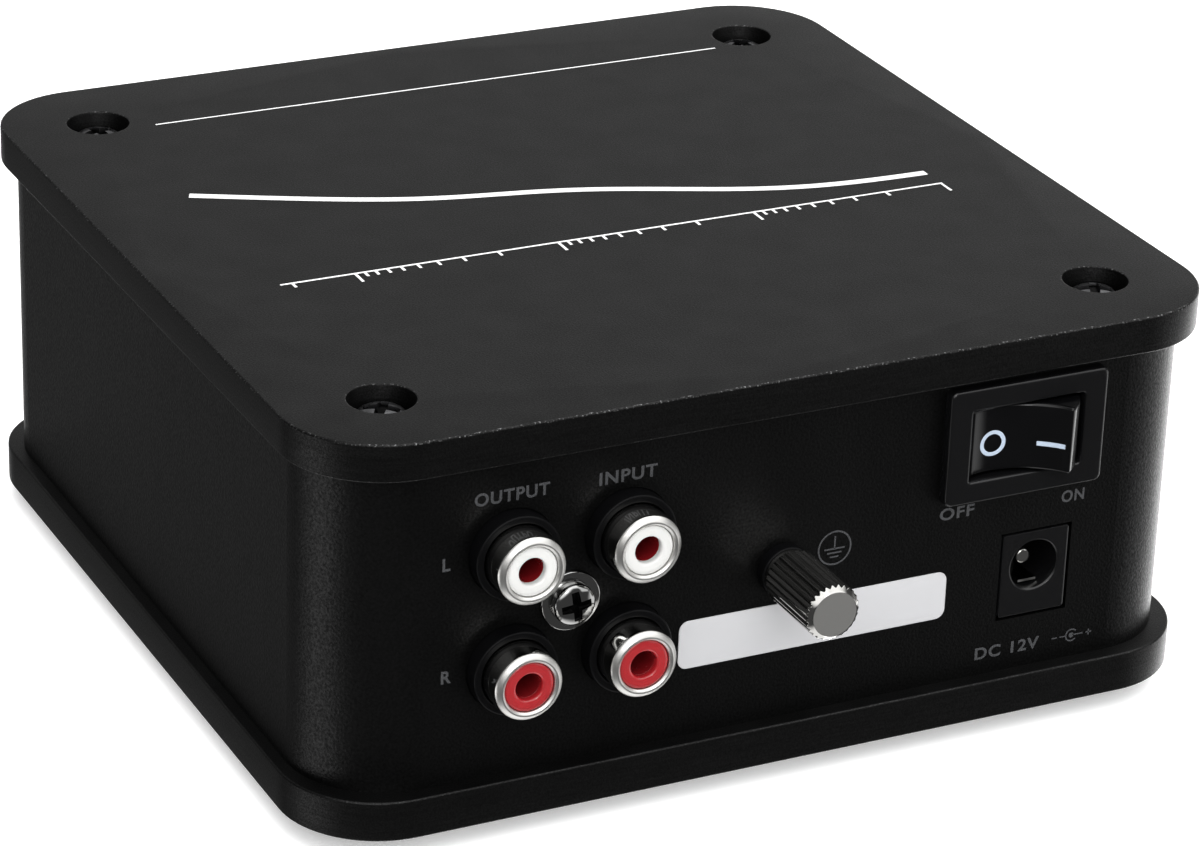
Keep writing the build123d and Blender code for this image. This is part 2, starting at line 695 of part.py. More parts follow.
# --- selector and power light ----------------------------------------------------------
def selector_parts():
    here = on_front(selector_x, selector_z)
    switch_front = -panel_y + sleeve_wall + selector_body_setback
    body = slab((selector_x - selector_body_width / 2, selector_x + selector_body_width / 2),
                (switch_front, switch_front + selector_body_depth),
                (board_top, board_top + selector_body_height))
    seat = selector_stem / 2 + selector_stem_gap
    body -= slab((selector_x - seat, selector_x + seat),
                 (switch_front - 1, switch_front + selector_stem_seat),
                 (selector_z - seat, selector_z + seat))
    nodes["selector_switch"] = body
    button = here * rod(button_radius, button_proud - button_length, button_proud)
    button = fillet(button.edges().group_by(Axis.Y)[0], button_round)
    half = selector_stem / 2
    stem_end = switch_front + selector_stem_seat - selector_travel - button_gap
    button += slab((selector_x - half, selector_x + half),
                   (-panel_y - button_proud + button_length - 1, stem_end),
                   (selector_z - half, selector_z + half))
    nodes["selector_button"] = button

    there = on_front(light_x, selector_z)
    holder_front = -sleeve_wall - board_gap
    half_holder = light_holder / 2
    holder = slab((light_x - half_holder, light_x + half_holder),
                  (-panel_y - holder_front, -panel_y - holder_front + light_holder),
                  (board_top, selector_z + half_holder))
    light = there * rod(light_radius, light_proud - light_length, light_proud)
    holder -= there * rod(light_radius + fit_gap, light_proud - light_length - fit_gap, light_proud)
    nodes["led_holder"] = holder
    nodes["power_led"] = fillet(light.edges().group_by(Axis.Y)[0], light_radius * 0.9)


# --- parts on the board ----------------------------------------------------------------
def opamp_pins(x):
    """Eight angled pins beside one op-amp body."""
    pins = []
    for row in (-1, 1):
        for place in range(4):
            y = opamp_y + (place - 1.5) * opamp_pin_pitch
            outer = row * opamp_pin_row / 2
            inner = row * opamp_width / 2
            half = opamp_pin_width / 2
            foot = slab((x + outer - half, x + outer + half), (y - half, y + half),
                        (board_top, board_top + opamp_pin_rise))
            arm = slab([x + v for v in sorted((inner, outer + row * half))], (y - half, y + half),
                       (board_top + opamp_pin_rise - opamp_pin_width, board_top + opamp_pin_rise))
            pins.append(foot + arm)
    return pins


def signal_parts():
    pins = []
    for side, number in (("left", 1), ("right", 0)):
        x = opamp_first_x + number * opamp_spacing
        body = slab((x - opamp_width / 2, x + opamp_width / 2),
                    (opamp_y - opamp_length / 2, opamp_y + opamp_length / 2),
                    (board_top + opamp_lift, board_top + opamp_lift + opamp_thickness))
        nodes[f"opamp_{side}"] = body
        pins += opamp_pins(x)
        film = slab((x - film_width / 2, x + film_width / 2),
                    (film_y - film_length / 2, film_y + film_length / 2),
                    (board_top, board_top + film_height))
        nodes[f"film_capacitor_{side}"] = fillet(film.edges().group_by(Axis.Z)[-1], film_round)
    nodes["opamp_pins"] = Compound(pins)
    body = Rot(90, 0, 0) * rod(resistor_radius, -resistor_length / 2, resistor_length / 2)
    body = fillet(body.edges().filter_by(GeomType.CIRCLE), resistor_round)
    nodes["resistors"] = Compound([
        Pos(resistor_first_x + n * resistor_spacing, resistor_y, board_top + resistor_radius) * body
        for n in range(resistor_count)])


def power_parts():
    can = rod(reservoir_radius, board_top, board_top + reservoir_height)
    can = fillet(can.edges().group_by(Axis.Z)[-1], reservoir_round)
    for number in range(3):
        x = supply_edge + reservoir_from_edge + number * reservoir_spacing
        nodes[f"reservoir_capacitor_{number + 1}"] = Pos(x, reservoir_y, 0) * can
    coil = ring(inductor_radius, inductor_hole_radius, board_top, board_top + inductor_height)
    coil = fillet(coil.edges().filter_by(GeomType.CIRCLE), inductor_round)
    nodes["supply_inductor"] = Pos(supply_edge + inductor_from_edge, inductor_y, 0) * coil
    regulator_x = supply_edge + regulator_from_edge
    across = (regulator_x - regulator_width / 2, regulator_x + regulator_width / 2)
    body = slab(across, (regulator_y - regulator_thickness, regulator_y),
                (board_top, board_top + regulator_height))
    body += slab(across, (regulator_y - regulator_tab_thickness, regulator_y),
                 (board_top, board_top + regulator_tab_height))
    hole_z = (board_top + regulator_height + board_top + regulator_tab_height) / 2
    body -= Pos(regulator_x, regulator_y, hole_z) * Rot(90, 0, 0) * rod(
        regulator_tab_hole, -1, regulator_tab_thickness + 1)
    nodes["voltage_regulator"] = body


box_parts()
tail_holes = jack_parts() + dc_parts()
board_parts(tail_holes)
ground_parts()
switch_parts()
label_part()
selector_parts()
signal_parts()
power_parts()

for name, shape in nodes.items():
    export_step(frame_shift * shape, f"parts/{name}.step")
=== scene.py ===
"""Desktop phono preamp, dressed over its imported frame.

Two bead-blasted black plates over a round-cornered sleeve, with phono jacks, a ground post,
a rocker switch and a DC inlet at the rear. Lengths inside this file are millimetres in the
frame's own axes: +Z up, +Y out of the rear wall. They become metres as a mesh is made.
"""

from math import cos, pi, radians, sin, tau

import bmesh
import bpy
import numpy as np
from mathutils import Matrix, Vector


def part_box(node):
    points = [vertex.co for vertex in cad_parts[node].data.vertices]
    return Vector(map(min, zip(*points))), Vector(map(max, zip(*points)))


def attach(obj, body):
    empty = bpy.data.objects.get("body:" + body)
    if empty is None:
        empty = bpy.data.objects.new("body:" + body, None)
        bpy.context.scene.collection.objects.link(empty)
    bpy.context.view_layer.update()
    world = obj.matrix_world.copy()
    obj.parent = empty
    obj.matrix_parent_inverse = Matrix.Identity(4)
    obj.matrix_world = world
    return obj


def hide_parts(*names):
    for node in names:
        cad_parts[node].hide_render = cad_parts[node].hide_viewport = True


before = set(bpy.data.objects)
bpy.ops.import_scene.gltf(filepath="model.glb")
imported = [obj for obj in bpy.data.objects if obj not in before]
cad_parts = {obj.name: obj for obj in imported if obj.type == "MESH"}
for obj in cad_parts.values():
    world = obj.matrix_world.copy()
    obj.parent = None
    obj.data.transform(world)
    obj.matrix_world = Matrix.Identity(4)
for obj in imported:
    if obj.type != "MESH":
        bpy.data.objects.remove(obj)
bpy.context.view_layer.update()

bl_info = {
    "name": "Phono preamp",
    "version": (1, 0, 0),
    "blender": (4, 5, 0),
    "location": "3D View > Sidebar > Preamp",
    "description": "Builds the finished surfaces of a desktop phono preamp over its frame",
    "category": "Object",
}

MM = 0.001
SIDES = ("left", "right")
JACKS = tuple(f"{role}_{side}" for role in ("output", "input") for side in SIDES)
TOUCH = 1e-9  # slack of a comparison
# In metres: points closer than the first are one point, and thinner faces than the second go.
SAME_POINT, NO_WIDTH = 1e-7, 1e-8


def linear(code):
    """Linear colour of an sRGB hex code, by the sRGB curve on each channel."""
    share = np.array([int(code[n:n + 2], 16) for n in (1, 3, 5)]) / 255
    bright = np.where(share <= 0.04045, share / 12.92, ((share + 0.055) / 1.055) ** 2.4)
    return (*(float(c) for c in bright), 1.0)


def span(node):
    """Lowest corner, highest corner and middle of a frame node, in millimetres."""
    low, high = (np.array(corner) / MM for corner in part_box(node))
    return low, high, (low + high) / 2


(_, FRONT_WALL, _), (_, REAR_WALL, _), _ = span("body_sleeve")
WALL = 2.5  # thickness of the sleeve, in millimetres
ROUND = 96  # points round a turned part
M3_THREAD = 1.5, 0.25, 0.5  # radius, groove depth and pitch of the case screws' thread
PRINT_HEIGHT = 0.03  # how far ink stands off what it is printed on
FRAME_STEEL = "tinned_steel"  # the frame's own plain steel, which small parts inside keep


# --- settings --------------------------------------------------------------------------
def length(name, description, default):
    """Length property, given in millimetres and kept in metres."""
    return bpy.props.FloatProperty(
        name=name, description=description, default=default * MM, min=0.0, unit="LENGTH", precision=5)


def colour(name, description, code):
    """Colour property, given as an sRGB hex code and kept linear."""
    return bpy.props.FloatVectorProperty(
        name=name, description=description, default=linear(code), min=0.0, max=1.0,
        size=4, subtype="COLOR")


class PreampCaseSizes(bpy.types.PropertyGroup):
    """Sizes of the plates, their screws and the blasted skin."""

    plate_corner: length("Plate corner", "Radius of the plates' corners in plan", 12.0)
    plate_edge: length("Plate edge", "Rounding of the plates' long edges", 0.28)
    counterbore: length("Counterbore", "Radius of the screw counterbores", 3.9)
    counterbore_depth: length("Counterbore depth", "Depth of the screw counterbores", 3.4)
    clearance_hole: length("Clearance hole", "Radius of the hole under each screw head", 1.7)
    screw_head: length("Screw head", "Radius of the case screws' heads", 2.9)
    grain: length("Blast grain", "Size of one pit of the bead-blasted skin", 0.2)


class PreampConnectorSizes(bpy.types.PropertyGroup):
    """Sizes of the jacks, the ground post and the rocker."""

    barrel_lip: length("Barrel lip", "Width of the bevel round a jack barrel's end", 0.74)
    barrel_wall: length("Barrel wall", "Thickness of a jack barrel's end ring", 1.1)
    jack_bore: length("Jack bore", "Radius of a jack's centre hole", 1.62)
    jack_funnel: length("Jack funnel", "Rounding at the mouth of a jack's centre hole", 0.42)
    nut_teeth: bpy.props.IntProperty(
        name="Nut teeth", description="Grooves round the ground nut", default=27, min=8, max=60)
    nut_groove: length("Nut groove", "Depth of the ground nut's grooves", 0.26)
    nut_chamfer: length("Nut chamfer", "Length of the ground nut's end chamfer", 0.6)
    thread_pitch: length("Thread pitch", "Pitch of the ground post's thread", 0.7)
    rocker_lean: bpy.props.FloatProperty(
        name="Rocker lean", description="Turn of the rocker from level at rest",
        default=radians(18.0), subtype="ANGLE")


class PreampFinishes(bpy.types.PropertyGroup):
    """Tints of the larger surfaces."""

    anodise: colour("Anodise", "Black anodised skin of plates and sleeve", "#2C2C2C")
    # Mixed onto the plates' edges as bright glints and a reflection line: painted light, partly real worn
    # metal.
    bare_edge_glint: colour("Bare edge", "Bare aluminium where an edge is worn", "#B9BABA")
    nickel: colour("Nickel", "Polished nickel plate", "#D0CFCC")
    moulding: colour("Moulding", "Black moulded plastic", "#0B0B0C")
    left_plastic: colour("Left plastic", "White plastic of the left jacks", "#C2C2C0")
    right_plastic: colour("Right plastic", "Red plastic of the right jacks", "#901B20")
    core_plastic: colour("Core plastic", "Dark red moulding inside every jack", "#6E1216")
    panel_ink: colour("Panel ink", "Grey ink of the rear legends", "#393A3C")
    top_ink: colour("Top ink", "White ink on the top plate", "#F2F2F2")
    symbol_ink: colour("Symbol ink", "Bluish white marks on the rocker", "#A3B0C0")
    label: colour("Label", "Light face of the rear label", "#A8A8AA")


def case_sizes():
    """The case's sizes, as set in the scene."""
    return bpy.context.scene.preamp_case


def connector_sizes():
    """The connectors' sizes, as set in the scene."""
    return bpy.context.scene.preamp_connectors


def finishes():
    """The tints, as set in the scene."""
    return bpy.context.scene.preamp_finishes


# --- surfaces --------------------------------------------------------------------------
def lattice(points, round_u=True, round_v=False):
    """Grid of points to vertices and four-sided faces.

    Each face joins a point to the next ones along u, along both and along v. A round
    direction joins its last row to its first.
    """
    count_u, count_v = points.shape[:2]
    u = np.arange(count_u if round_u else count_u - 1)[:, None]
    v = np.arange(count_v if round_v else count_v - 1)[None, :]
    next_u = (u + 1) % count_u
    next_v = (v + 1) % count_v
    corners = [u * count_v + v, next_u * count_v + v, next_u * count_v + next_v, u * count_v + next_v]
    return points.reshape(-1, 3), np.stack(corners, axis=-1).reshape(-1, 4)


def turned(profile, count=ROUND):
    """Surface of revolution: (r cos t, r sin t, h) for each (r, h) of the profile."""
    profile = np.asarray(profile, float)
    turn = np.linspace(0, tau, count, endpoint=False)[:, None]
    radius, height = profile.T
    return lattice(np.stack([radius * np.cos(turn), radius * np.sin(turn), height + 0 * turn], axis=-1))


def eased(corners, radius, steps=5):
    """Open profile with each inner corner replaced by a parabola.

    Between the two points at the easing length along a corner's legs, a point is the sum
    (1-t)^2 a + 2t(1-t) corner + t^2 b. The length is at most half of the shorter leg.
    """
    corners = np.asarray(corners, float)
    radius = np.broadcast_to(radius, len(corners))
    t = np.linspace(0, 1, steps + 1)[:, None]
    run = [corners[:1]]
    for before, corner, after, size in zip(corners, corners[1:], corners[2:], radius[1:]):
        back, ahead = before - corner, after - corner
        room = min(size, 0.49 * np.linalg.norm(back), 0.49 * np.linalg.norm(ahead))
        a = corner + back / np.linalg.norm(back) * room
        b = corner + ahead / np.linalg.norm(ahead) * room
        run.append((1 - t) ** 2 * a + 2 * t * (1 - t) * corner + t ** 2 * b if room else corner[None])
    return np.vstack([*run, corners[-1:]])


def loop(half_x, half_y, radius, steps=8):
    """Rounded rectangle: four quarter circles of the radius, joined by straight runs."""
    turn = np.linspace(0, pi / 2, steps + 1)
    quarters = [(1, 1, 0), (-1, 1, 1), (-1, -1, 2), (1, -1, 3)]
    arcs = [np.stack([sx * (half_x - radius) + radius * np.cos(turn + quarter * pi / 2),
                      sy * (half_y - radius) + radius * np.sin(turn + quarter * pi / 2)], axis=-1)
            for sx, sy, quarter in quarters]
    return np.vstack(arcs)


def stacked(sections, steps=8):
    """Rounded rectangles one after another, each (half x, half y, radius, height, x, y).

    The last two place its middle and may be left out. A section of no size closes the
    surface in a point, and one whose radius is its half size is a circle.
    """
    rings = []
    for half_x, half_y, radius, height, *centre in sections:
        ring = loop(half_x, half_y, radius, steps) + (centre or (0.0, 0.0))
        rings.append(np.column_stack([ring, np.full(len(ring), height)]))
    return lattice(np.stack(rings, axis=1))


def block(half_x, half_y, low, high, corner, edge, steps=5):
    """Closed box with rounded corners in plan and eased edges at top and bottom."""
    corner = max(corner, edge)
    t = np.linspace(0, pi / 2, steps + 1)
    inset, drop = edge * (1 - np.sin(t)), edge * (1 - np.cos(t))
    rise = [(half_x - i, half_y - i, corner - i, low + d) for i, d in zip(inset, drop)]
    fall = [(half_x - i, half_y - i, corner - i, high - d) for i, d in zip(inset[::-1], drop[::-1])]
    return stacked([(0, 0, 0, low), *rise, *fall, (0, 0, 0, high)])


def flat_ring(outer, inner, height, count=64, start=0.0, end=tau):
    """Flat band between two radii, whole or between two angles."""
    whole = end - start >= tau - TOUCH
    turn = np.linspace(start, end, count, endpoint=not whole)[:, None]
    radius = np.array([inner, outer])
    x, y = radius * np.cos(turn), radius * np.sin(turn)
    return lattice(np.stack([x, y, np.full_like(x, height)], axis=-1), round_u=whole)


def flat_bar(x, y, height):
    """Flat rectangle between two x and two y values."""
    u, v = np.meshgrid(x, y, indexing="ij")
    return lattice(np.stack([u, v, np.full(u.shape, float(height))], axis=-1), round_u=False)


def moved(part, by):
    """Shift a part."""
    points, faces = part
    return points + np.asarray(by, float), faces


def spun(part, angle):
    """Turn a part about its own height axis."""
    points, faces = part
    x, y, z = points.T
    return np.stack([x * cos(angle) - y * sin(angle), x * sin(angle) + y * cos(angle), z], axis=-1), faces


def out_of_rear(part, x, z):
    """Lay a part on the rear wall: its own x runs to -X, its y up and its z outwards."""
    points, faces = part
    u, v, w = points.T
    return np.stack([x - u, REAR_WALL + w, z + v], axis=-1), faces


def out_of_front(part, x, z):
    """Lay a part on the front wall: its own x runs to +X, its y up and its z outwards."""
    points, faces = part
    u, v, w = points.T
    return np.stack([x + u, FRONT_WALL - w, z + v], axis=-1), faces


def make_piece(name, parts, body, material, replaces=(), sharp=32.0, closed=True, finish_and_light=None):
    """One object from its parts, joined where they meet, riding on its body.

    sharp is the angle in degrees past which an edge is drawn sharp. The last argument holds
    one value for each point of the parts in turn, kept as an attribute. The finishes read it
    for a second finish and for painted light: edge glints, a reflection line and the shade
    painted into cross recesses.
    """
    starts = np.cumsum([0] + [len(points) for points, _ in parts])
    points = np.vstack([part[0] for part in parts]) * MM
    faces = [[int(n + start) for n in face]
             for (_, group), start in zip(parts, starts) for face in group]
    mesh = bpy.data.meshes.new(name)
    mesh.from_pydata(points.tolist(), [], faces)
    if finish_and_light is not None:
        mesh.attributes.new("finish_and_light", "FLOAT", "POINT").data.foreach_set("value", finish_and_light.astype(np.float32))
    work = bmesh.new()
    work.from_mesh(mesh)
    bmesh.ops.remove_doubles(work, verts=work.verts, dist=SAME_POINT)
    bmesh.ops.dissolve_degenerate(work, dist=NO_WIDTH, edges=work.edges)
    if closed:
        bmesh.ops.recalc_face_normals(work, faces=work.faces)
    work.to_mesh(mesh)
    work.free()
    mesh.shade_smooth()
    mesh.set_sharp_from_angle(angle=radians(sharp))
    mesh.materials.append(material)
    piece = bpy.data.objects.new(name, mesh)
    bpy.context.scene.collection.objects.link(piece)
    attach(piece, body)
    if replaces:
        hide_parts(*replaces)
    return piece


def dress(material, *names):
    """Give frame nodes their finish, with their shapes as they are."""
    for name in names:
        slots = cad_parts[name].data.materials
        slots.clear()
        slots.append(material)


def lettering(words, height, width, weight=0.026, spacing=1.12):
    """Words as a flat mesh about the origin, scaled to a letter height and a full width."""
    curve = bpy.data.curves.new("lettering", "FONT")
    curve.body = words
    curve.offset = weight
    curve.space_character = spacing
    holder = bpy.data.objects.new("lettering", curve)
    bpy.context.scene.collection.objects.link(holder)
    shape = bpy.data.meshes.new_from_object(holder.evaluated_get(bpy.context.evaluated_depsgraph_get()))
    points = np.zeros(len(shape.vertices) * 3)
    shape.vertices.foreach_get("co", points)
    points = points.reshape(-1, 3)
    faces = [list(face.vertices) for face in shape.polygons]
    bpy.data.objects.remove(holder)
    bpy.data.curves.remove(curve)
    bpy.data.meshes.remove(shape)
    low, high = points.min(0), points.max(0)
    scale = np.array([width, height]) / (high - low)[:2]
    return (points - (low + high) / 2) * (*scale, 0), faces


# --- finishes --------------------------------------------------------------------------
def add(tree, kind, values=None, **settings):
    """One node with its settings; values are constants, or sockets to link from."""
    node = tree.nodes.new(kind)
    for key, value in settings.items():
        setattr(node, key, value)
    for key, value in (values or {}).items():
        if isinstance(value, bpy.types.NodeSocket):
            tree.links.new(value, node.inputs[key])
        else:
            node.inputs[key].default_value = value
    return node


def start_finish(name):
    """New material, its node tree, and the object coordinates that its patterns read."""
    material = bpy.data.materials.new(name)
    material.use_nodes = True
    tree = material.node_tree
    tree.nodes.clear()
    return material, tree, add(tree, "ShaderNodeTexCoord").outputs["Object"]


def end_finish(material, **surface):
    """Close a material with one Principled shader; surface is its constants and links."""
    tree = material.node_tree
    values = {key.replace("_", " "): value for key, value in surface.items()}
    shader = add(tree, "ShaderNodeBsdfPrincipled", values)
    add(tree, "ShaderNodeOutputMaterial", {"Surface": shader.outputs["BSDF"]})
    return material


def dimmed(tint, share):
    """A colour with only a share of its light."""
    return (*(channel * share for channel in tint[:3]), 1.0)


def per_metre(millimetres):
    """Texture scale whose features are about this many millimetres apart."""
    return 1.0 / (millimetres * MM)


def clouded(name, size, detail, tints=None, roughness=None, relief=None, **surface):
    """Finish led by one soft noise: its colour, its sheen and its relief, as far as given.

    size is the noise's grain in millimetres, tints and roughness are the two ends that it
    leads between, and relief is the bump's strength and its depth in millimetres.
    """
    material, tree, place = start_finish(name)
    cloud = add(tree, "ShaderNodeTexNoise",
                {"Vector": place, "Scale": per_metre(size), "Detail": detail}).outputs["Fac"]
    if tints:
        surface["Base_Color"] = add(tree, "ShaderNodeMix", {
            "Factor": cloud, "A": tints[0], "B": tints[1]}, data_type="RGBA").outputs["Result"]
    if roughness:
        surface["Roughness"] = add(tree, "ShaderNodeMapRange", {
            "Value": cloud, "To Min": roughness[0], "To Max": roughness[1]}).outputs["Result"]
    if relief:
        surface["Normal"] = add(tree, "ShaderNodeBump", {
            "Height": cloud, "Strength": relief[0], "Distance": relief[1] * MM}).outputs["Normal"]
    return end_finish(material, **surface)


def blasted_anodised_aluminium(name, grain, roughness, lines, streak):
    """Aluminium 6061 plate, bead-blasted, then anodised black.

    The blast leaves fine pits that break the sheen into grain, and the dye leaves a metal
    that is nearly black head-on and greyer at a glance. Along the marked edges bright bare
    metal is mixed in as short broken glints: in part worn edge, in part painted highlight,
    and on the plates' other rounding a fainter painted reflection line. Real pits are near
    0.05 mm, drawn coarser so they show.
    lines squeezes the cutting marks, which are 6 mm long, in height, and streak is their
    contrast.
    """
    tints = finishes()
    material, tree, place = start_finish(name)
    middle_of_noise = {"From Min": 0.3, "From Max": 0.7}
    pits = add(tree, "ShaderNodeTexNoise", {
        "Vector": place, "Scale": per_metre(grain), "Detail": 2.0}).outputs["Fac"]
    squeezed = add(tree, "ShaderNodeMapping", {"Vector": place, "Scale": (1.0, 1.0, lines)})
    marks = add(tree, "ShaderNodeTexNoise", {
        "Vector": squeezed.outputs["Vector"], "Scale": per_metre(6.0)}).outputs["Fac"]
    facet = add(tree, "ShaderNodeMapRange", {
        "Value": pits, **middle_of_noise, "To Min": 0.62, "To Max": 1.38})
    stroke = add(tree, "ShaderNodeMapRange", {
        "Value": marks, **middle_of_noise, "To Min": 1 - streak, "To Max": 1 + streak})
    depth = add(tree, "ShaderNodeMath", {0: facet.outputs["Result"], 1: stroke.outputs["Result"]},
                operation="MULTIPLY")
    dyed = add(tree, "ShaderNodeVectorMath", {"Vector": tints.anodise[:3], "Scale": depth.outputs["Value"]},
               operation="SCALE")
    speck = add(tree, "ShaderNodeTexNoise", {"Vector": place, "Scale": per_metre(0.3), "Detail": 1.0})
    # The marked edges take bare metal in broken specks: painted glints and a painted reflection line, partly
    # real worn edge.
    worn = add(tree, "ShaderNodeAttribute", attribute_name="finish_and_light")
    chip_glint = add(tree, "ShaderNodeMapRange", {
        "Value": speck.outputs["Fac"], "From Min": 0.58, "From Max": 0.74, "To Min": 0.0, "To Max": 0.55})
    glint = add(tree, "ShaderNodeMath", {0: chip_glint.outputs["Result"], 1: worn.outputs["Fac"]},
                operation="MULTIPLY", use_clamp=True)
    skin = add(tree, "ShaderNodeMix", {
        "Factor": glint.outputs["Value"], "A": dyed.outputs["Vector"], "B": tints.bare_edge_glint[:]},
        data_type="RGBA")
    rough = add(tree, "ShaderNodeMapRange", {
        "Value": pits, **middle_of_noise, "To Min": roughness + 0.05, "To Max": roughness - 0.05})
    relief = add(tree, "ShaderNodeMath", {0: marks, 1: 0.5, 2: pits}, operation="MULTIPLY_ADD")
    bump = add(tree, "ShaderNodeBump", {
        "Height": relief.outputs["Value"], "Strength": 0.5, "Distance": grain * MM * 0.3})
    return end_finish(material, Metallic=1.0, Base_Color=skin.outputs["Result"],
                      Roughness=rough.outputs["Result"], Normal=bump.outputs["Normal"])


def polished_nickel(name, tint, roughness, haze, face_and_light_tint, second_roughness):
    """Brass or steel plated with bright nickel: a neutral mirror with faint turning haze.

    An attribute leads over to a second tint and roughness: near black painted shade in a
    screw's cross recess, a satin turned end on a jack barrel, tinted whiter as a painted
    highlight, and the turned face of the ground nut, lighter than its knurl.
    """
    material, tree, place = start_finish(name)
    # The attribute leads to the second tint, which paints shade into recesses and a highlight on the barrels'
    # ends, and gives the nut's turned face its tint.
    worn = add(tree, "ShaderNodeAttribute", attribute_name="finish_and_light").outputs["Fac"]
    plated = add(tree, "ShaderNodeMix", {"Factor": worn, "A": tuple(tint), "B": tuple(face_and_light_tint)},
                 data_type="RGBA")
    smear = add(tree, "ShaderNodeTexNoise", {"Vector": place, "Scale": per_metre(1.2), "Detail": 4.0})
    hazy = add(tree, "ShaderNodeMapRange", {
        "Value": smear.outputs["Fac"], "To Min": roughness, "To Max": roughness + haze})
    rough = add(tree, "ShaderNodeMix", {
        "Factor": worn, "A": hazy.outputs["Result"], "B": second_roughness}, data_type="FLOAT")
    fine = add(tree, "ShaderNodeTexNoise", {"Vector": place, "Scale": per_metre(0.25)})
    bump = add(tree, "ShaderNodeBump", {
        "Height": fine.outputs["Fac"], "Strength": 0.06, "Distance": 0.01 * MM})
    return end_finish(material, Metallic=1.0, Base_Color=plated.outputs["Result"],
                      Roughness=rough.outputs["Result"], Normal=bump.outputs["Normal"])


def moulded_plastic(name, tint, roughness, texture, depth, coat=0.0, sheen=0.5):
    """Moulded ABS or nylon: a coloured body under a thin even sheen.

    The tool's spark-eroded texture shows as a soft fine bump, of a size and depth given
    in millimetres, and the colour drifts slightly over a few millimetres, as mouldings do.
    """
    material, tree, place = start_finish(name)
    drift = add(tree, "ShaderNodeTexNoise", {"Vector": place, "Scale": per_metre(5.0), "Detail": 2.0})
    shade = add(tree, "ShaderNodeMix", {
        "Factor": drift.outputs["Fac"], "A": dimmed(tint, 0.86), "B": tuple(tint)}, data_type="RGBA")
    grain = add(tree, "ShaderNodeTexNoise", {
        "Vector": place, "Scale": per_metre(texture), "Detail": 2.0}).outputs["Fac"]
    rough = add(tree, "ShaderNodeMapRange", {
        "Value": grain, "To Min": roughness - 0.04, "To Max": roughness + 0.05})
    bump = add(tree, "ShaderNodeBump", {"Height": grain, "Strength": 0.4, "Distance": depth * MM})
    return end_finish(material, IOR=1.53, Specular_IOR_Level=sheen, Coat_Weight=coat, Coat_Roughness=0.08,
                      Base_Color=shade.outputs["Result"], Roughness=rough.outputs["Result"],
                      Normal=bump.outputs["Normal"])


def black_zinc_steel():
    """Cold-headed steel screws in black zinc: dark and oily, with painted shade, near black, in the cross
    recess.
    """
    material, tree, place = start_finish("black_zinc_steel")
    rub = add(tree, "ShaderNodeTexNoise", {
        "Vector": place, "Scale": per_metre(0.9), "Detail": 3.0}).outputs["Fac"]
    zinc = add(tree, "ShaderNodeMix", {"Factor": rub, "A": linear("#5A5A5C"), "B": linear("#8C8C8E")},
               data_type="RGBA")
    # Painted shade: the attribute marks the cross recess, which is mixed to near black.
    deep = add(tree, "ShaderNodeAttribute", attribute_name="finish_and_light")
    skin = add(tree, "ShaderNodeMix", {
        "Factor": deep.outputs["Fac"], "A": zinc.outputs["Result"], "B": linear("#060606")},
        data_type="RGBA")
    rough = add(tree, "ShaderNodeMapRange", {"Value": rub, "To Min": 0.2, "To Max": 0.38})
    return end_finish(material, Metallic=1.0, Base_Color=skin.outputs["Result"],
                      Roughness=rough.outputs["Result"])


def screen_ink(name, tint):
    """Baked screen-print ink: flat, slightly uneven where the mesh let it through."""
    return clouded(name, 0.22, 2.0, tints=(dimmed(tint, 0.8), tuple(tint)), roughness=(0.45, 0.6), IOR=1.45)


def foil_label():
    """Polyester label stock, satin white, with the faint orange peel of its adhesive."""
    return clouded("foil_label", 2.4, 2.0, roughness=(0.3, 0.42), relief=(0.2, 0.03), IOR=1.5,
                   Base_Color=finishes().label[:])


def moulded_rubber():
    """Moulded rubber: near black, dull, with a powdery bloom."""
    return clouded("moulded_rubber", 1.5, 4.0, tints=(linear("#101010"), linear("#1E1E1E")),
                   roughness=(0.7, 0.9), relief=(0.3, 0.05), IOR=1.52)


def rolled_metal(name, tint, roughness):
    """Stamped or drawn strip, such as brass or tinned steel: soft streaks along X."""
    material, tree, place = start_finish(name)
    along = add(tree, "ShaderNodeMapping", {"Vector": place, "Scale": (0.1, 1.0, 1.0)})
    streak = add(tree, "ShaderNodeTexNoise", {
        "Vector": along.outputs["Vector"], "Scale": per_metre(0.5), "Detail": 3.0}).outputs["Fac"]
    shade = add(tree, "ShaderNodeMix", {
        "Factor": streak, "A": dimmed(linear(tint), 0.8), "B": linear(tint)}, data_type="RGBA")
    rough = add(tree, "ShaderNodeMapRange", {
        "Value": streak, "To Min": roughness - 0.07, "To Max": roughness + 0.08})
    return end_finish(material, Metallic=1.0, Base_Color=shade.outputs["Result"],
                      Roughness=rough.outputs["Result"])


def banded(name, dark, light, spacing, axis, roughness, metallic=0.0):
    """Round part with even bands along one axis: wire turns, colour codes or a crimp.

    A wave texture of scale 1 has a band every 0.314 of its unit, hence that factor.
    """
    material, tree, place = start_finish(name)
    wave = add(tree, "ShaderNodeTexWave", {
        "Vector": place, "Scale": per_metre(spacing) * 0.314, "Distortion": 0.0},
        wave_type="BANDS", bands_direction=axis).outputs["Fac"]
    edge = add(tree, "ShaderNodeMapRange", {"Value": wave, "From Min": 0.35, "From Max": 0.65})
    shade = add(tree, "ShaderNodeMix", {
        "Factor": edge.outputs["Result"], "A": linear(dark), "B": linear(light)}, data_type="RGBA")
    speck = add(tree, "ShaderNodeTexNoise", {"Vector": place, "Scale": per_metre(0.8)})
    rough = add(tree, "ShaderNodeMapRange", {
        "Value": speck.outputs["Fac"], "To Min": roughness, "To Max": roughness + 0.12})
    bump = add(tree, "ShaderNodeBump", {"Height": wave, "Strength": 0.3, "Distance": 0.06 * MM})
    return end_finish(material, Metallic=metallic, Base_Color=shade.outputs["Result"],
                      Roughness=rough.outputs["Result"], Normal=bump.outputs["Normal"])


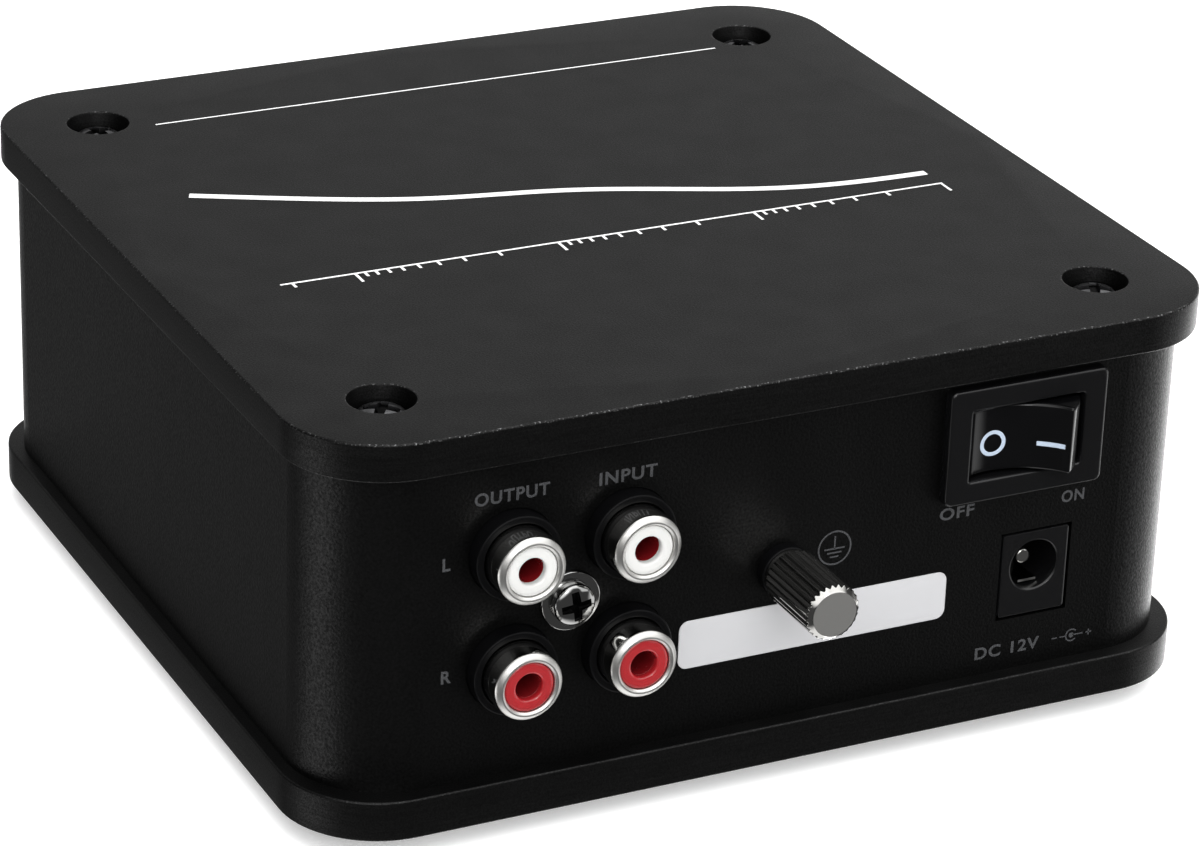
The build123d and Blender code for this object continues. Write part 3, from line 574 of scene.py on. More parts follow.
def solder_mask():
    """Glass-epoxy board under green solder mask, with the tracks showing as paler lines."""
    material, tree, place = start_finish("solder_mask")
    tracks = add(tree, "ShaderNodeTexBrick", {
        "Vector": place, "Color1": linear("#10401F"), "Color2": linear("#164B26"),
        "Mortar": linear("#2C6B3A"), "Scale": per_metre(2.54), "Mortar Size": 0.11,
        "Brick Width": 4.0, "Row Height": 1.0}, offset=0.37)
    film = add(tree, "ShaderNodeTexNoise", {"Vector": place, "Scale": per_metre(1.0), "Detail": 3.0})
    rough = add(tree, "ShaderNodeMapRange", {"Value": film.outputs["Fac"], "To Min": 0.28, "To Max": 0.42})
    bump = add(tree, "ShaderNodeBump", {
        "Height": tracks.outputs["Fac"], "Strength": 0.3, "Distance": 0.05 * MM})
    return end_finish(material, IOR=1.5, Coat_Weight=0.3, Base_Color=tracks.outputs["Color"],
                      Roughness=rough.outputs["Result"], Normal=bump.outputs["Normal"])


def lit_table():
    """Opal acrylic of a light table: pale and dead matte, with a soft glow from below."""
    return clouded("opal_light_table", 40.0, 2.0, tints=(linear("#F1F1F1"), linear("#F6F6F6")),
                   Roughness=1.0, Specular_IOR_Level=0.0, Emission_Color=(1.0, 1.0, 1.0, 1.0),
                   Emission_Strength=0.35)


# --- case ------------------------------------------------------------------------------
def quadrant(half_x, half_y, corner, hole, count=20):
    """Edge points of one quarter plate, evenly spread as seen from its screw hole.

    A ray from the hole leaves the quarter at the nearest of the lines x = 0, y = 0,
    x = half_x and y = half_y, or on the corner's circle. Returns the points, the outward
    directions there (none on the two inner lines) and which points lie on the outside.
    """
    hole = np.asarray(hole, float)
    marks = np.array([(0, 0), (half_x, 0), (half_x, half_y - corner), (half_x - corner, half_y),
                      (0, half_y)], float) - hole
    angles = np.unwrap(np.arctan2(marks[:, 1], marks[:, 0]))
    angles = np.append(angles, angles[0] + tau)
    turn = np.concatenate([np.linspace(a, b, count, endpoint=False) for a, b in zip(angles, angles[1:])])
    ray = np.stack([np.cos(turn), np.sin(turn)], axis=-1)
    reach = np.where(ray > 0, (half_x, half_y) - hole, hole) / np.maximum(np.abs(ray), TOUCH)
    edge = hole + ray * reach.min(axis=1)[:, None]
    axis = np.array([half_x - corner, half_y - corner])
    gap = hole - axis
    along = (ray * gap).sum(-1)
    reach_arc = -along + np.sqrt(along ** 2 - gap @ gap + corner ** 2)
    on_arc = (edge > axis + TOUCH).all(-1)
    edge[on_arc] = (hole + ray * reach_arc[:, None])[on_arc]
    outward = np.where(on_arc[:, None], (edge - axis) / corner,
                       np.stack([edge[:, 0] > half_x - TOUCH, edge[:, 1] > half_y - TOUCH], axis=-1))
    ends = np.zeros(len(turn), bool)
    ends[[count, len(turn) - count]] = True
    outside = ends | (np.abs(outward).sum(-1) > 0)
    return edge, outward, outside, turn


def counterbored_plate(half_x, half_y, thickness, hole):
    """Closed plate with an eased outline and four counterbored holes, lying on height 0.

    Each quarter is one grid from the hole's wall out to the edge, above and below, and a
    second grid that carries the edge's rounding round the outline. Returns the parts and,
    for each point, the strength of the painted edge glints (partly real worn metal), which
    is greatest on the upper rounding, and of the painted reflection line on the lower one.
    """
    sizes = case_sizes()
    corner, ease = sizes.plate_corner / MM, sizes.plate_edge / MM
    bore, drill = sizes.counterbore / MM, sizes.clearance_hole / MM
    floor = thickness - sizes.counterbore_depth / MM
    floor_ease, lip = 0.1, 0.18
    # Strength of painted light on the edges: glints, partly real worn metal, on the counterbores' lips and
    # the upper rounding, and a painted reflection line on the lower rounding.
    lip_wear_glint, lower_edge_reflection, upper_wear_glint = 0.6, 0.3, 0.8
    edge, outward, outside, turn = quadrant(half_x, half_y, corner, hole)
    inset = edge - ease * outward
    ray = np.stack([np.cos(turn), np.sin(turn)], axis=-1)
    wall = [(drill, 0.0), (drill, floor), (bore - floor_ease, floor), (bore, floor + floor_ease),
            (bore, thickness - lip), (bore + lip * 0.3, thickness - lip * 0.3),
            (bore + lip, thickness), (bore + 1.3 * lip, thickness)]
    columns = [np.column_stack([inset, np.zeros(len(turn))])]
    columns += [np.column_stack([np.asarray(hole) + ray * radius, np.full(len(turn), height)])
                for radius, height in wall]
    columns += [np.column_stack([inset, np.full(len(turn), thickness)])]
    face = np.stack(columns, axis=1)
    face_wear_glint = np.zeros(face.shape[:2])
    face_wear_glint[:, -4:-2] = lip_wear_glint
    count = 6
    t = np.linspace(0, pi / 2, count)
    steps_in = np.concatenate([ease * (1 - np.sin(t)), ease * (1 - np.cos(t))])
    steps_up = np.concatenate([ease * (1 - np.cos(t)), thickness - ease * (1 - np.sin(t))])
    start = np.flatnonzero(outside)
    run = edge[start][:, None, :] - outward[start][:, None, :] * steps_in[None, :, None]
    rim = np.concatenate([run, np.broadcast_to(steps_up[None, :, None], (*run.shape[:2], 1))], axis=-1)
    rim_wear_and_reflection = np.zeros(rim.shape[:2])
    rim_wear_and_reflection[:, 1:count - 1] = lower_edge_reflection
    rim_wear_and_reflection[:, count + 1:2 * count - 1] = upper_wear_glint
    parts, finish_and_light = [], []
    for sign_x in (-1, 1):
        for sign_y in (-1, 1):
            flip = np.array([sign_x, sign_y, 1.0])
            parts += [lattice(face * flip), lattice(rim * flip, round_u=False)]
            finish_and_light += [face_wear_glint.ravel(), rim_wear_and_reflection.ravel()]
    return parts, np.concatenate(finish_and_light)


def build_plates():
    """Both plates. The base plate is the top one turned over, with its painted edge glints and reflection
    line, partly real worn metal, at a quarter of their strength.
    """
    sizes = case_sizes()
    head, base_wear_and_glint = sizes.screw_head / MM, 0.25
    skin = blasted_anodised_aluminium("blasted_black_plate", sizes.grain / MM, roughness=0.46,
                                      lines=24.0, streak=0.17)
    for name, screws, way in (("top_plate", "top_screws", 1), ("base_plate", "base_screws", -1)):
        low, high, centre = span(name)
        half_x, half_y, _ = (high - low) / 2
        hole = (span(screws)[1] - centre)[:2] - head
        parts, finish_and_light = counterbored_plate(half_x, half_y, high[2] - low[2], hole)
        seat = (centre[0], centre[1], low[2] if way > 0 else high[2])
        parts = [moved((points * (1, 1, way), faces), seat) for points, faces in parts]
        make_piece(f"case_{name}", parts, "enclosure", skin, [name],
                   finish_and_light=finish_and_light if way > 0 else finish_and_light * base_wear_and_glint)


def build_sleeve():
    """The sleeve keeps the frame's shape and gets its finish, with upright draw lines.

    It was blasted with coarser beads than the plates.
    """
    skin = blasted_anodised_aluminium("blasted_black_sleeve", case_sizes().grain / MM * 1.6,
                                      roughness=0.44, lines=0.3, streak=0.06)
    dress(skin, "body_sleeve")


def cross_head(radius, rim, crown, depth, wing, width=0.2):
    """Pan head with a cross recess, on a square grid drawn into a disc.

    A grid point (a, b) of the square goes to x = a sqrt(1 - b^2/2), y = b sqrt(1 - a^2/2),
    so the grid's middle lines stay straight and the recess has clean walls. The height is
    the crown's dome less the recess, which slopes down to its middle. Grid lines stand
    close together on both sides of each recess wall. wing and width are half the cross's
    length and the width of an arm, as shares of the radius. Returns the parts, and for
    each of their points 1 in the recess and 0 elsewhere.
    """
    soft, flatness, slope = 0.018, 0.9, 0.6
    lines = np.concatenate([np.linspace(0, width - soft, 4), np.linspace(width + soft, wing - soft, 5),
                            [wing + soft], np.linspace(wing + 4 * soft, 1, 7)])
    lines = np.concatenate([-lines[:0:-1], lines])
    a, b = np.meshgrid(lines, lines, indexing="ij")
    x, y = a * np.sqrt(1 - b ** 2 / 2), b * np.sqrt(1 - a ** 2 / 2)
    far = np.minimum(np.hypot(x, y), 1.0)
    dome = rim + (crown - rim) * np.sqrt(np.maximum(1 - far ** 2, 0)) ** flatness
    reach = np.maximum(np.abs(a), np.abs(b))
    inside = (np.minimum(np.abs(a), np.abs(b)) < width) & (reach < wing)
    dome = dome - inside * depth * (1 - slope * reach / wing)
    top = np.stack([x * radius, y * radius, dome], axis=-1)
    ring = np.concatenate([top[:-1, 0], top[-1, :-1], top[:0:-1, -1], top[0, :0:-1]])
    heel, heel_width = (0, 0, 0.15 * rim), 0.94
    skirt = np.stack([ring, ring * (1, 1, 0) + heel, ring * (heel_width, heel_width, 0), ring * 0], axis=1)
    recess = np.append(inside.ravel(), np.zeros(skirt.shape[0] * skirt.shape[1]))
    return [lattice(top, round_u=False), lattice(skirt)], recess


def threaded(radius, groove, pitch, low, high, count=36, per_turn=8):
    """Rod with a helical thread, flat at both ends.

    The radius falls by the groove's depth along a triangle wave of height / pitch minus
    turn, so its crests wind round the rod. Over the last turn at each end they fade out.
    """
    run_out = 1.6
    turn = np.linspace(0, 1, count, endpoint=False)[:, None]
    height = np.linspace(low, high, max(2, round((high - low) / pitch * per_turn)))[None, :]
    wave = np.abs(((height / pitch - turn) % 1.0) * 2 - 1)
    fade = np.clip(np.minimum(height - low, high - height) / pitch, 0, 1)
    reach = radius - groove * (1 - wave) - groove * run_out * (1 - fade) * wave
    wall = np.stack([reach * np.cos(turn * tau), reach * np.sin(turn * tau), height + 0 * turn], axis=-1)
    ends = [np.broadcast_to([0.0, 0.0, end], (count, 1, 3)) for end in (low, high)]
    return lattice(np.concatenate([ends[0], wall, ends[1]], axis=1))


def build_case_screws():
    """Eight screws sunk in the counterbores, each turned further than the one before."""
    head = case_sizes().screw_head / MM
    steel = black_zinc_steel()
    shank, crown_over_seat = 10.0, 2.0
    first_turn, next_turn = 23, 41
    parts, recess = cross_head(head, rim=1.2, crown=2.35, depth=1.2, wing=0.7)
    parts.append(threaded(*M3_THREAD, -shank, 0.0))
    recess = np.append(recess, np.zeros(len(parts[-1][0])))
    for name, way in (("top_screws", 1), ("base_screws", -1)):
        low, high, _ = span(name)
        seat = high[2] - crown_over_seat if way > 0 else low[2] + crown_over_seat
        places = [(x, y, seat) for x in (low[0] + head, high[0] - head)
                  for y in (low[1] + head, high[1] - head)]
        placed = []
        for number, place in enumerate(places):
            turned_screw = [spun(part, radians(first_turn + next_turn * number)) for part in parts]
            placed += [moved((points * (1, way, way), faces), place) for points, faces in turned_screw]
        # The recess marks paint shade into each cross recess.
        make_piece(f"case_{name}", placed, "enclosure", steel, [name], sharp=40,
                   finish_and_light=np.tile(recess, len(places)))


def build_feet():
    """Turned pads with an eased lower rim and a shallow dished sole."""
    parts, nodes = [], []
    dished, dish_in, rim_in, taper = 0.25, 2.4, 2.0, 0.8
    for end in ("front", "rear"):
        for side in SIDES:
            node = f"foot_{end}_{side}"
            low, high, centre = span(node)
            wide, tall = (high[0] - low[0]) / 2, high[2] - low[2]
            profile = eased([(0, dished), (wide - dish_in, dished), (wide - rim_in, 0), (wide - taper, 0),
                             (wide, tall), (0, tall)], [0, 0.1, 0.1, 0.5, 0.15, 0])
            parts.append(moved(turned(profile, 64), (centre[0], centre[1], 0)))
            nodes.append(node)
    make_piece("rubber_feet", parts, "enclosure", moulded_rubber(), nodes)


# --- rear connectors -------------------------------------------------------------------
def build_jacks():
    """Block with four collars; in each a nickel barrel round a plastic ring and its core."""
    sizes, tints = connector_sizes(), finishes()
    wall, lip = sizes.barrel_wall / MM, sizes.barrel_lip / MM
    bore, funnel = sizes.jack_bore / MM, sizes.jack_funnel / MM
    matte = moulded_plastic("black_glass_nylon", linear("#060607"), 0.4, 0.3, 0.01, sheen=0.1)
    # The barrels' satin end rings take a whiter tint than the nickel: a painted highlight on a real satin
    # turn.
    nickel = polished_nickel("polished_nickel", tints.nickel, 0.05, 0.03, linear("#E0DFDC"), 0.4)
    plastics = {side: moulded_plastic(f"glossy_{side}_plastic", tint, 0.2, 0.8, 0.004, coat=0.4)
                for side, tint in zip(SIDES, (tints.left_plastic, tints.right_plastic))}
    deep = moulded_plastic("dark_red_core", tints.core_plastic, 0.25, 0.8, 0.004)

    low, high, centre = span("jack_block")
    half_x, _, half_z = (high - low) / 2
    proud = high[1] - REAR_WALL
    body = block(half_x, half_z, low[1] - REAR_WALL, -WALL, corner=0.8, edge=0.4)
    parts = [out_of_rear(body, centre[0], centre[2])]
    collar_radius, clearance, mouth = 5.2, 0.06, 0.25
    face_sunk, core_sunk, core_wall, fit = 0.34, 0.9, 0.35, 0.03
    for jack in JACKS:
        low, high, (x, _, z) = span(f"jack_shell_{jack}")
        barrel = (high[0] - low[0]) / 2
        reach, back = high[1] - REAR_WALL, low[1] - REAR_WALL
        inner, face = barrel - wall, reach - face_sunk
        collar = eased([(barrel + clearance, -WALL), (barrel + clearance, proud - mouth),
                        (barrel + mouth, proud), (collar_radius, proud), (collar_radius, -WALL)],
                       [0, 0.1, 0.15, 0.3, 0])
        parts.append(out_of_rear(turned(collar, 72), x, z))
        tube = eased([(barrel, back), (barrel, reach - lip * 0.75), (barrel - lip, reach),
                      (inner, face), (inner, back)], [0, 0.35, 0.25, 0.12, 0], 6)
        tube = np.vstack([tube, tube[:1]])
        # Marks the end ring: real satin finish with a painted highlight tint.
        satin_and_highlight_end = np.tile(tube[:, 1] > reach - lip * 0.9, ROUND).astype(float)
        make_piece(f"jack_barrel_{jack}", [out_of_rear(turned(tube), x, z)], "enclosure", nickel,
                   [f"jack_shell_{jack}"], finish_and_light=satin_and_highlight_end)
        shoulder, root = face - core_sunk, (bore + core_wall, back)
        ring = eased([root, (bore + core_wall, shoulder), (bore, shoulder), (bore, face),
                      (inner - 0.5, face + 0.05), (inner - fit, face - 0.12), (inner - fit, back), root],
                     [0, 0.02, 0.05, funnel, 0.3, 0.2, 0.1, 0], 6)
        side = jack.split("_")[1]
        make_piece(f"jack_ring_{jack}", [out_of_rear(turned(ring), x, z)], "enclosure", plastics[side],
                   [f"jack_insulator_{jack}"])
        core = eased([(bore, back + 0.2), (bore, shoulder - 0.01), (bore + core_wall - 0.01, shoulder - 0.01),
                      (bore + core_wall - 0.01, back + 0.2)], 0.05)
        make_piece(f"jack_core_{jack}", [out_of_rear(turned(np.vstack([core, core[:1]])), x, z)],
                   "enclosure", deep)
    make_piece("jack_collars", parts, "enclosure", matte, ["jack_block"])
    dress(rolled_metal("tinned_brass", "#C9A25C", 0.3), *[f"jack_contact_{jack}" for jack in JACKS])


def build_jack_screw():
    """Flanged cross-head screw in the middle of the jacks."""
    # The second tint paints the cross recess near black as shade.
    steel = polished_nickel("bright_nickel_steel", linear("#ABABAA"), 0.07, 0.05, linear("#0C0C0C"), 0.5)
    low, high, (x, _, z) = span("jack_screw")
    wide, flange, shank = (high[0] - low[0]) / 2, 0.8, 9.0
    plate = turned(eased([(0, 0), (wide, 0), (wide, flange), (2.2, flange)], [0, 0.1, 0.25, 0]))
    head, recess = cross_head(2.55, rim=0.8, crown=1.68, depth=1.3, wing=0.7, width=0.19)
    head = [moved(part, (0, 0, flange)) for part in head]
    thread = threaded(*M3_THREAD, -shank, 0.0)
    parts = [out_of_rear(spun(part, radians(8)), x, z) for part in (plate, *head, thread)]
    recess = np.concatenate([np.zeros(len(plate[0])), recess, np.zeros(len(thread[0]))])
    make_piece("jack_block_screw", parts, "enclosure", steel, ["jack_screw"], sharp=40,
               finish_and_light=recess)


def knurled_nut(radius, length_mm, bore, bore_depth):
    """Straight-grooved nut with a chamfered blind end, standing on height 0.

    The wall's radius at angle t is the tip radius less the groove depth times a rounded
    sawtooth of t, and never more than the chamfer's cone at that height, which is what
    scallops the chamfer. Returns the nut, and 1 for each point of its end face.
    """
    sizes = connector_sizes()
    teeth, groove, chamfer = sizes.nut_teeth, sizes.nut_groove / MM, sizes.nut_chamfer / MM
    per_tooth, tip_share, roundness = 12, 1.25, 1.5
    turn = np.linspace(0, tau, teeth * per_tooth, endpoint=False)[:, None]
    saw = np.abs((turn * teeth / tau % 1.0) * 2 - 1)
    wall = radius - groove * (1 - np.minimum(saw * tip_share, 1.0) ** roundness)
    shoulder, end_ease, foot_ease = length_mm - chamfer, 0.12, 0.3
    height = np.concatenate([[0.0, 0.12, 0.3, 0.6], np.linspace(1.0, shoulder - 0.3, 6),
                             np.linspace(shoulder - 0.1, length_mm - end_ease, 14), [length_mm]])
    face_radius = radius - chamfer
    cone = np.interp(height, [0, foot_ease, shoulder, length_mm - end_ease, length_mm],
                     [radius - groove, radius + 0.01, radius + 0.01, face_radius + 0.04, face_radius - 0.06])
    reach = np.minimum(wall, cone[None, :])
    side = np.stack([reach * np.cos(turn), reach * np.sin(turn), height[None, :] + 0 * turn], axis=-1)

    flats = [(0, bore_depth), (bore, bore_depth), (bore, foot_ease), (bore + foot_ease, 0.0)]
    face = [(face_radius * 0.97, length_mm), (face_radius * 0.5, length_mm), (0, length_mm)]
    below, above = (np.stack([np.array(run)[:, 0] * np.cos(turn), np.array(run)[:, 0] * np.sin(turn),
                              np.array(run)[:, 1] + 0 * turn], axis=-1) for run in (flats, face))
    turned_face = np.zeros((len(turn), len(flats) + len(height) + len(face)))
    turned_face[:, -len(face):] = 1.0
    return lattice(np.concatenate([below, side, above], axis=1)), turned_face.ravel()


def build_ground_post():
    """Collar, captive washer, knurled nut and threaded post, one behind the other."""
    sizes, tints = connector_sizes(), finishes()
    nickel = polished_nickel("knurled_nickel", linear("#B9B8B5"), 0.08, 0.05, tints.nickel, 0.5)
    post, post_groove, nut_radius = 2.0, 0.3, 3.4
    bore, washer_bore = post + 0.05, post + 0.1
    low, high, (x, _, z) = span("ground_spacer")
    wide, tall = (high[0] - low[0]) / 2, high[1] - REAR_WALL
    ring = eased([(bore, 0), (wide, 0), (wide, tall), (bore, tall), (bore, 0)], [0, 0.1, 0.3, 0.1, 0])
    make_piece("ground_collar", [out_of_rear(turned(ring), x, z)], "enclosure",
               bpy.data.materials["black_glass_nylon"], ["ground_spacer"])
    low, high, _ = span("ground_washer")
    wide, base, tall = (high[0] - low[0]) / 2, low[1] - REAR_WALL, high[1] - REAR_WALL
    ring = eased([(washer_bore, base), (wide, base), (wide, tall), (washer_bore, tall), (washer_bore, base)],
                 [0, 0.12, 0.12, 0.08, 0])
    make_piece("ground_clamp_washer", [out_of_rear(turned(ring), x, z)], "ground_washer_body", nickel,
               ["ground_washer"])
    low, high, _ = span("ground_thumb_nut")
    post_low, post_high, _ = span("ground_stud")
    nut, turned_face = knurled_nut(nut_radius, high[1] - low[1], bore, post_high[1] - low[1] + 1.0)
    nut = moved(nut, (0, 0, low[1] - REAR_WALL))
    make_piece("ground_nut", [out_of_rear(nut, x, z)], "ground_nut_body", nickel,
               ["ground_thumb_nut"], sharp=24, finish_and_light=turned_face)
    rod = threaded(post, post_groove, sizes.thread_pitch / MM, post_low[1] - REAR_WALL,
                   post_high[1] - REAR_WALL)
    make_piece("ground_threaded_post", [out_of_rear(rod, x, z)], "enclosure",
               rolled_metal("tinned_steel", "#A9A9AC", 0.3), ["ground_stud"], sharp=50)
    dress(bpy.data.materials[FRAME_STEEL], "ground_lock_nut", "ground_tag")


# --- rocker switch ---------------------------------------------------------------------
# The rocker in millimetres about the axis it tilts on: radius of its round ends, angle of the
# face's two corners, height of the hollow face's middle and depth of the flat back, height
# along the axis, the axis's depth behind the wall, half the size of the bezel's mouth, radius
# and reach of the stem at its back, and radius of its two pins.
ROCKER = {"radius": 7.6, "corner": radians(39.5), "saddle": 2.9, "back": 1.8, "height": 8.4,
          "pivot": 2.0, "mouth": (7.44, 4.5), "stem": 1.0, "stem_reach": 4.9, "pin": 1.2}


def dish(x):
    """Height of the rocker's hollow face: a circle through its two corners and its middle."""
    tip_x = ROCKER["radius"] * cos(ROCKER["corner"])
    sag = ROCKER["radius"] * sin(ROCKER["corner"]) - ROCKER["saddle"]
    bend = (tip_x ** 2 + sag ** 2) / (2 * sag)
    return ROCKER["saddle"] + bend - np.sqrt(bend ** 2 - x ** 2)


def rocker_outline():
    """Side view of the rocker as a closed run: hollow face, round ends and flat back."""
    radius, corner, back = ROCKER["radius"], ROCKER["corner"], ROCKER["back"]
    tip_x = radius * cos(corner)
    face_x = np.linspace(-tip_x + 0.25, tip_x - 0.25, 41)
    face = np.column_stack([face_x, dish(face_x)])
    heel = np.arcsin(back / radius)
    t = np.linspace(corner - 0.035, -heel, 16)
    right = np.column_stack([radius * np.cos(t), radius * np.sin(t)])
    left = right[::-1] * (-1, 1)
    corner_t = np.linspace(0, 1, 5)[1:-1, None]
    tip = np.array([tip_x, radius * sin(corner)])
    ease = (1 - corner_t) ** 2 * face[-1] + 2 * corner_t * (1 - corner_t) * tip + corner_t ** 2 * right[0]
    return np.vstack([face, ease, right, left, ease[::-1] * (-1, 1)])


def leaned(part, lean):
    """Turn a part about the rocker's axis and put it at the axis's place."""
    centre_x, _, centre_z = span("switch_housing")[2]
    return moved(spun(part, -lean), (centre_x, REAR_WALL - ROCKER["pivot"], centre_z))


def build_bezel():
    """Bezel with a stepped mouth for the rocker, and the switch's body behind the wall."""
    matte = moulded_plastic("moulded_black_abs", finishes().moulding, 0.2, 0.3, 0.01, sheen=0.38)
    low, high, (x, _, z) = span("switch_housing")
    half_x, _, half_z = (high - low) / 2
    proud, depth = high[1] - REAR_WALL, low[1] - REAR_WALL
    body_x, body_z, corner, rim_corner = 9.5, 6.3, 0.5, 0.8
    edge, rim = 0.42, 0.54
    mouth_x, mouth_z = ROCKER["mouth"]
    cavity_x, cavity_corner, cavity_floor, step = 7.95, 0.35, depth + 1.6, 1.2
    # The mouth's rounding: how far out it is, its corner, and how far down.
    mouth = ((0.45, 0.6, 0.0), (0.25, 0.5, 0.0), (0.1, 0.42, 0.1), (0.0, cavity_corner, 0.35),
             (0.0, cavity_corner, step))
    sections = [(0, 0, 0, depth), (body_x - 0.2, body_z - 0.2, corner, depth),
                (body_x, body_z, corner, depth + 0.3), (body_x, body_z, corner, -WALL),
                (body_x, body_z, corner, 0.0), (half_x, half_z, rim_corner, 0.0)]
    sections += [(half_x - edge * (1 - cos(a)), half_z - edge * (1 - cos(a)), rim_corner,
                  proud - edge * (1 - sin(a))) for a in np.linspace(0, pi / 2, 6)]
    sections += [(half_x - rim, half_z - rim, rim_corner - 0.1, proud)]
    sections += [(mouth_x + out, mouth_z + out, turn, proud - down) for out, turn, down in mouth]
    sections += [(cavity_x, mouth_z, cavity_corner, proud - step),
                 (cavity_x, mouth_z, cavity_corner, cavity_floor), (0, 0, 0, cavity_floor)]
    make_piece("switch_bezel", [out_of_rear(stacked(sections), x, z)], "enclosure", matte,
               ["switch_housing"], sharp=36)


def build_rocker():
    """Rocker with eased ends, its two pins and the stem that works the bar behind it."""
    outline = rocker_outline()
    ahead = np.roll(outline, -1, axis=0) - np.roll(outline, 1, axis=0)
    inward = np.column_stack([-ahead[:, 1], ahead[:, 0]])
    inward /= np.linalg.norm(inward, axis=1)[:, None]
    inward *= -np.sign((inward * outline).sum(1).mean())
    half, soft = ROCKER["height"] / 2, 0.4
    levels = [(sign, a) for sign, way in ((-1, 1), (1, -1)) for a in np.linspace(0, pi / 2, 6)[::way]]
    rows = [np.column_stack([outline + inward * soft * (1 - sin(a)),
                             np.full(len(outline), sign * (half - soft * (1 - cos(a))))])
            for sign, a in levels]
    ends = [np.column_stack([outline * 0, np.full(len(outline), end)]) for end in (-half, half)]
    body = lattice(np.stack([ends[0], *rows, ends[1]], axis=1))
    pin, pin_end = ROCKER["pin"], ROCKER["mouth"][1] + 0.8
    pins = turned([(0, -pin_end), (pin, -pin_end), (pin, pin_end), (0, pin_end)], 48)
    stem, reach = ROCKER["stem"], ROCKER["stem_reach"]
    points, faces = turned(eased([(0, 0), (stem, 0), (stem, reach), (0, reach)], [0, 0, 0.6, 0]), 40)
    parts = [body, pins, (points[:, [0, 2, 1]] * (1, -1, 1), faces)]
    gloss = moulded_plastic("glossy_black_nylon", linear("#060607"), 0.14, 1.4, 0.006, sheen=0.32)
    lean = connector_sizes().rocker_lean
    make_piece("rocker_cap", [leaned(part, lean) for part in parts], "switch_rocker_body", gloss,
               ["switch_rocker"], sharp=34)


def build_rocker_marks():
    """Ring and bar printed on the hollow face, following it."""
    lean = connector_sizes().rocker_lean
    ink_lift, below = 0.02, -0.5
    ring_x, ring_radii = 3.1, np.array([1.14, 1.62])
    bar_x, bar_z = (-2.2, -5.3), (-1.1, -0.52)
    turn = np.linspace(0, tau, 64, endpoint=False)[:, None]
    x, z = ring_x + ring_radii * np.cos(turn), ring_radii * np.sin(turn) + below
    ring = lattice(np.stack([x, dish(x) + ink_lift, z], axis=-1))
    x, z = np.meshgrid(np.linspace(*bar_x, 12), bar_z, indexing="ij")
    bar = lattice(np.stack([x, dish(x) + ink_lift, z], axis=-1), round_u=False)
    make_piece("rocker_marks", [leaned(part, lean) for part in (ring, bar)], "switch_rocker_body",
               screen_ink("bluish_white_ink", finishes().symbol_ink), closed=False)


def build_switch_inside():
    """Finishes of the switch's contacts and leads."""
    dress(bpy.data.materials["tinned_brass"], "switch_common", "switch_live", "switch_seesaw")
    dress(moulded_plastic("red_wire_pvc", linear("#7A1012"), 0.4, 1.5, 0.01), "switch_leads")


# --- DC inlet, label and legends -------------------------------------------------------
def build_dc_inlet():
    """Squarish housing round a deep well, with a pin in the well and a sprung leaf."""
    low, high, (x, _, z) = span("dc_housing")
    half_x, _, half_z = (high - low) / 2
    depth = low[1] - REAR_WALL
    pin_low, pin_high, _ = span("dc_pin")
    pin_radius, tail = 1.05, 0.5
    pin_z, tip = pin_high[2] - pin_radius, pin_high[1] - REAR_WALL
    sections = [(0, 0, 0, depth), (half_x - 0.2, half_z - 0.2, 0.4, depth),
                (half_x, half_z, 0.4, depth + 0.2), (half_x, half_z, 0.4, -0.22),
                (half_x - 0.06, half_z - 0.06, 0.36, -0.06),
                (half_x - 0.22, half_z - 0.22, 0.25, 0.0), (half_x - 0.32, half_z - 0.32, 0.2, 0.0)]
    # The well from its mouth down, as radius and height.
    well = ((3.5, 0.0), (3.38, 0.0), (3.27, -0.05), (3.15, -0.22), (3.15, -9.4), (2.9, -9.5), (0, -9.5))
    sections += [(radius, radius, radius, height, 0.0, pin_z - z) for radius, height in well]
    matte = moulded_plastic("moulded_dark_abs", linear("#0B0B0C"), 0.24, 0.35, 0.01, sheen=0.4)
    make_piece("dc_socket", [out_of_rear(stacked(sections, 16), x, z)], "enclosure", matte,
               ["dc_housing"])
    nickel = bpy.data.materials["polished_nickel"]
    pin = eased([(0, depth - tail), (pin_radius, depth - tail), (pin_radius, tip), (0, tip)],
                [0, 0.1, 0.9, 0], 10)
    tag = block(pin_radius, (pin_z - pin_low[2]) / 2, depth - tail, depth, corner=0.1, edge=0.05)
    make_piece("dc_centre_pin", [out_of_rear(turned(pin, 48), x, pin_z),
                                 out_of_rear(tag, x, (pin_z + pin_low[2]) / 2)],
               "enclosure", nickel, ["dc_pin"])
    dress(nickel, "dc_leaf")


def build_label():
    """Blank label, a thin sheet with rounded corners."""
    low, high, (x, _, z) = span("rear_label")
    half_x, _, half_z = (high - low) / 2
    sheet = block(half_x, half_z, 0.0, high[1] - low[1], corner=1.2, edge=0.06)
    make_piece("rear_blank_label", [out_of_rear(sheet, x, z)], "enclosure", foil_label(),
               ["rear_label"])


# Words on the rear wall, in millimetres: letter height, X and Z of their middle, full width.
LEGENDS = (
    ("OUTPUT", 1.6, 34.45, 42.8, 9.1),
    ("INPUT", 1.6, 20.25, 42.7, 7.2),
    ("L", 1.6, 42.25, 35.6, 0.95),
    ("R", 1.6, 42.05, 21.6, 1.25),
    ("OFF", 1.55, -22.75, 30.2, 4.6),
    ("ON", 1.55, -38.5, 29.6, 3.1),
    ("DC 12V", 1.6, -31.0, 10.8, 8.8),
)


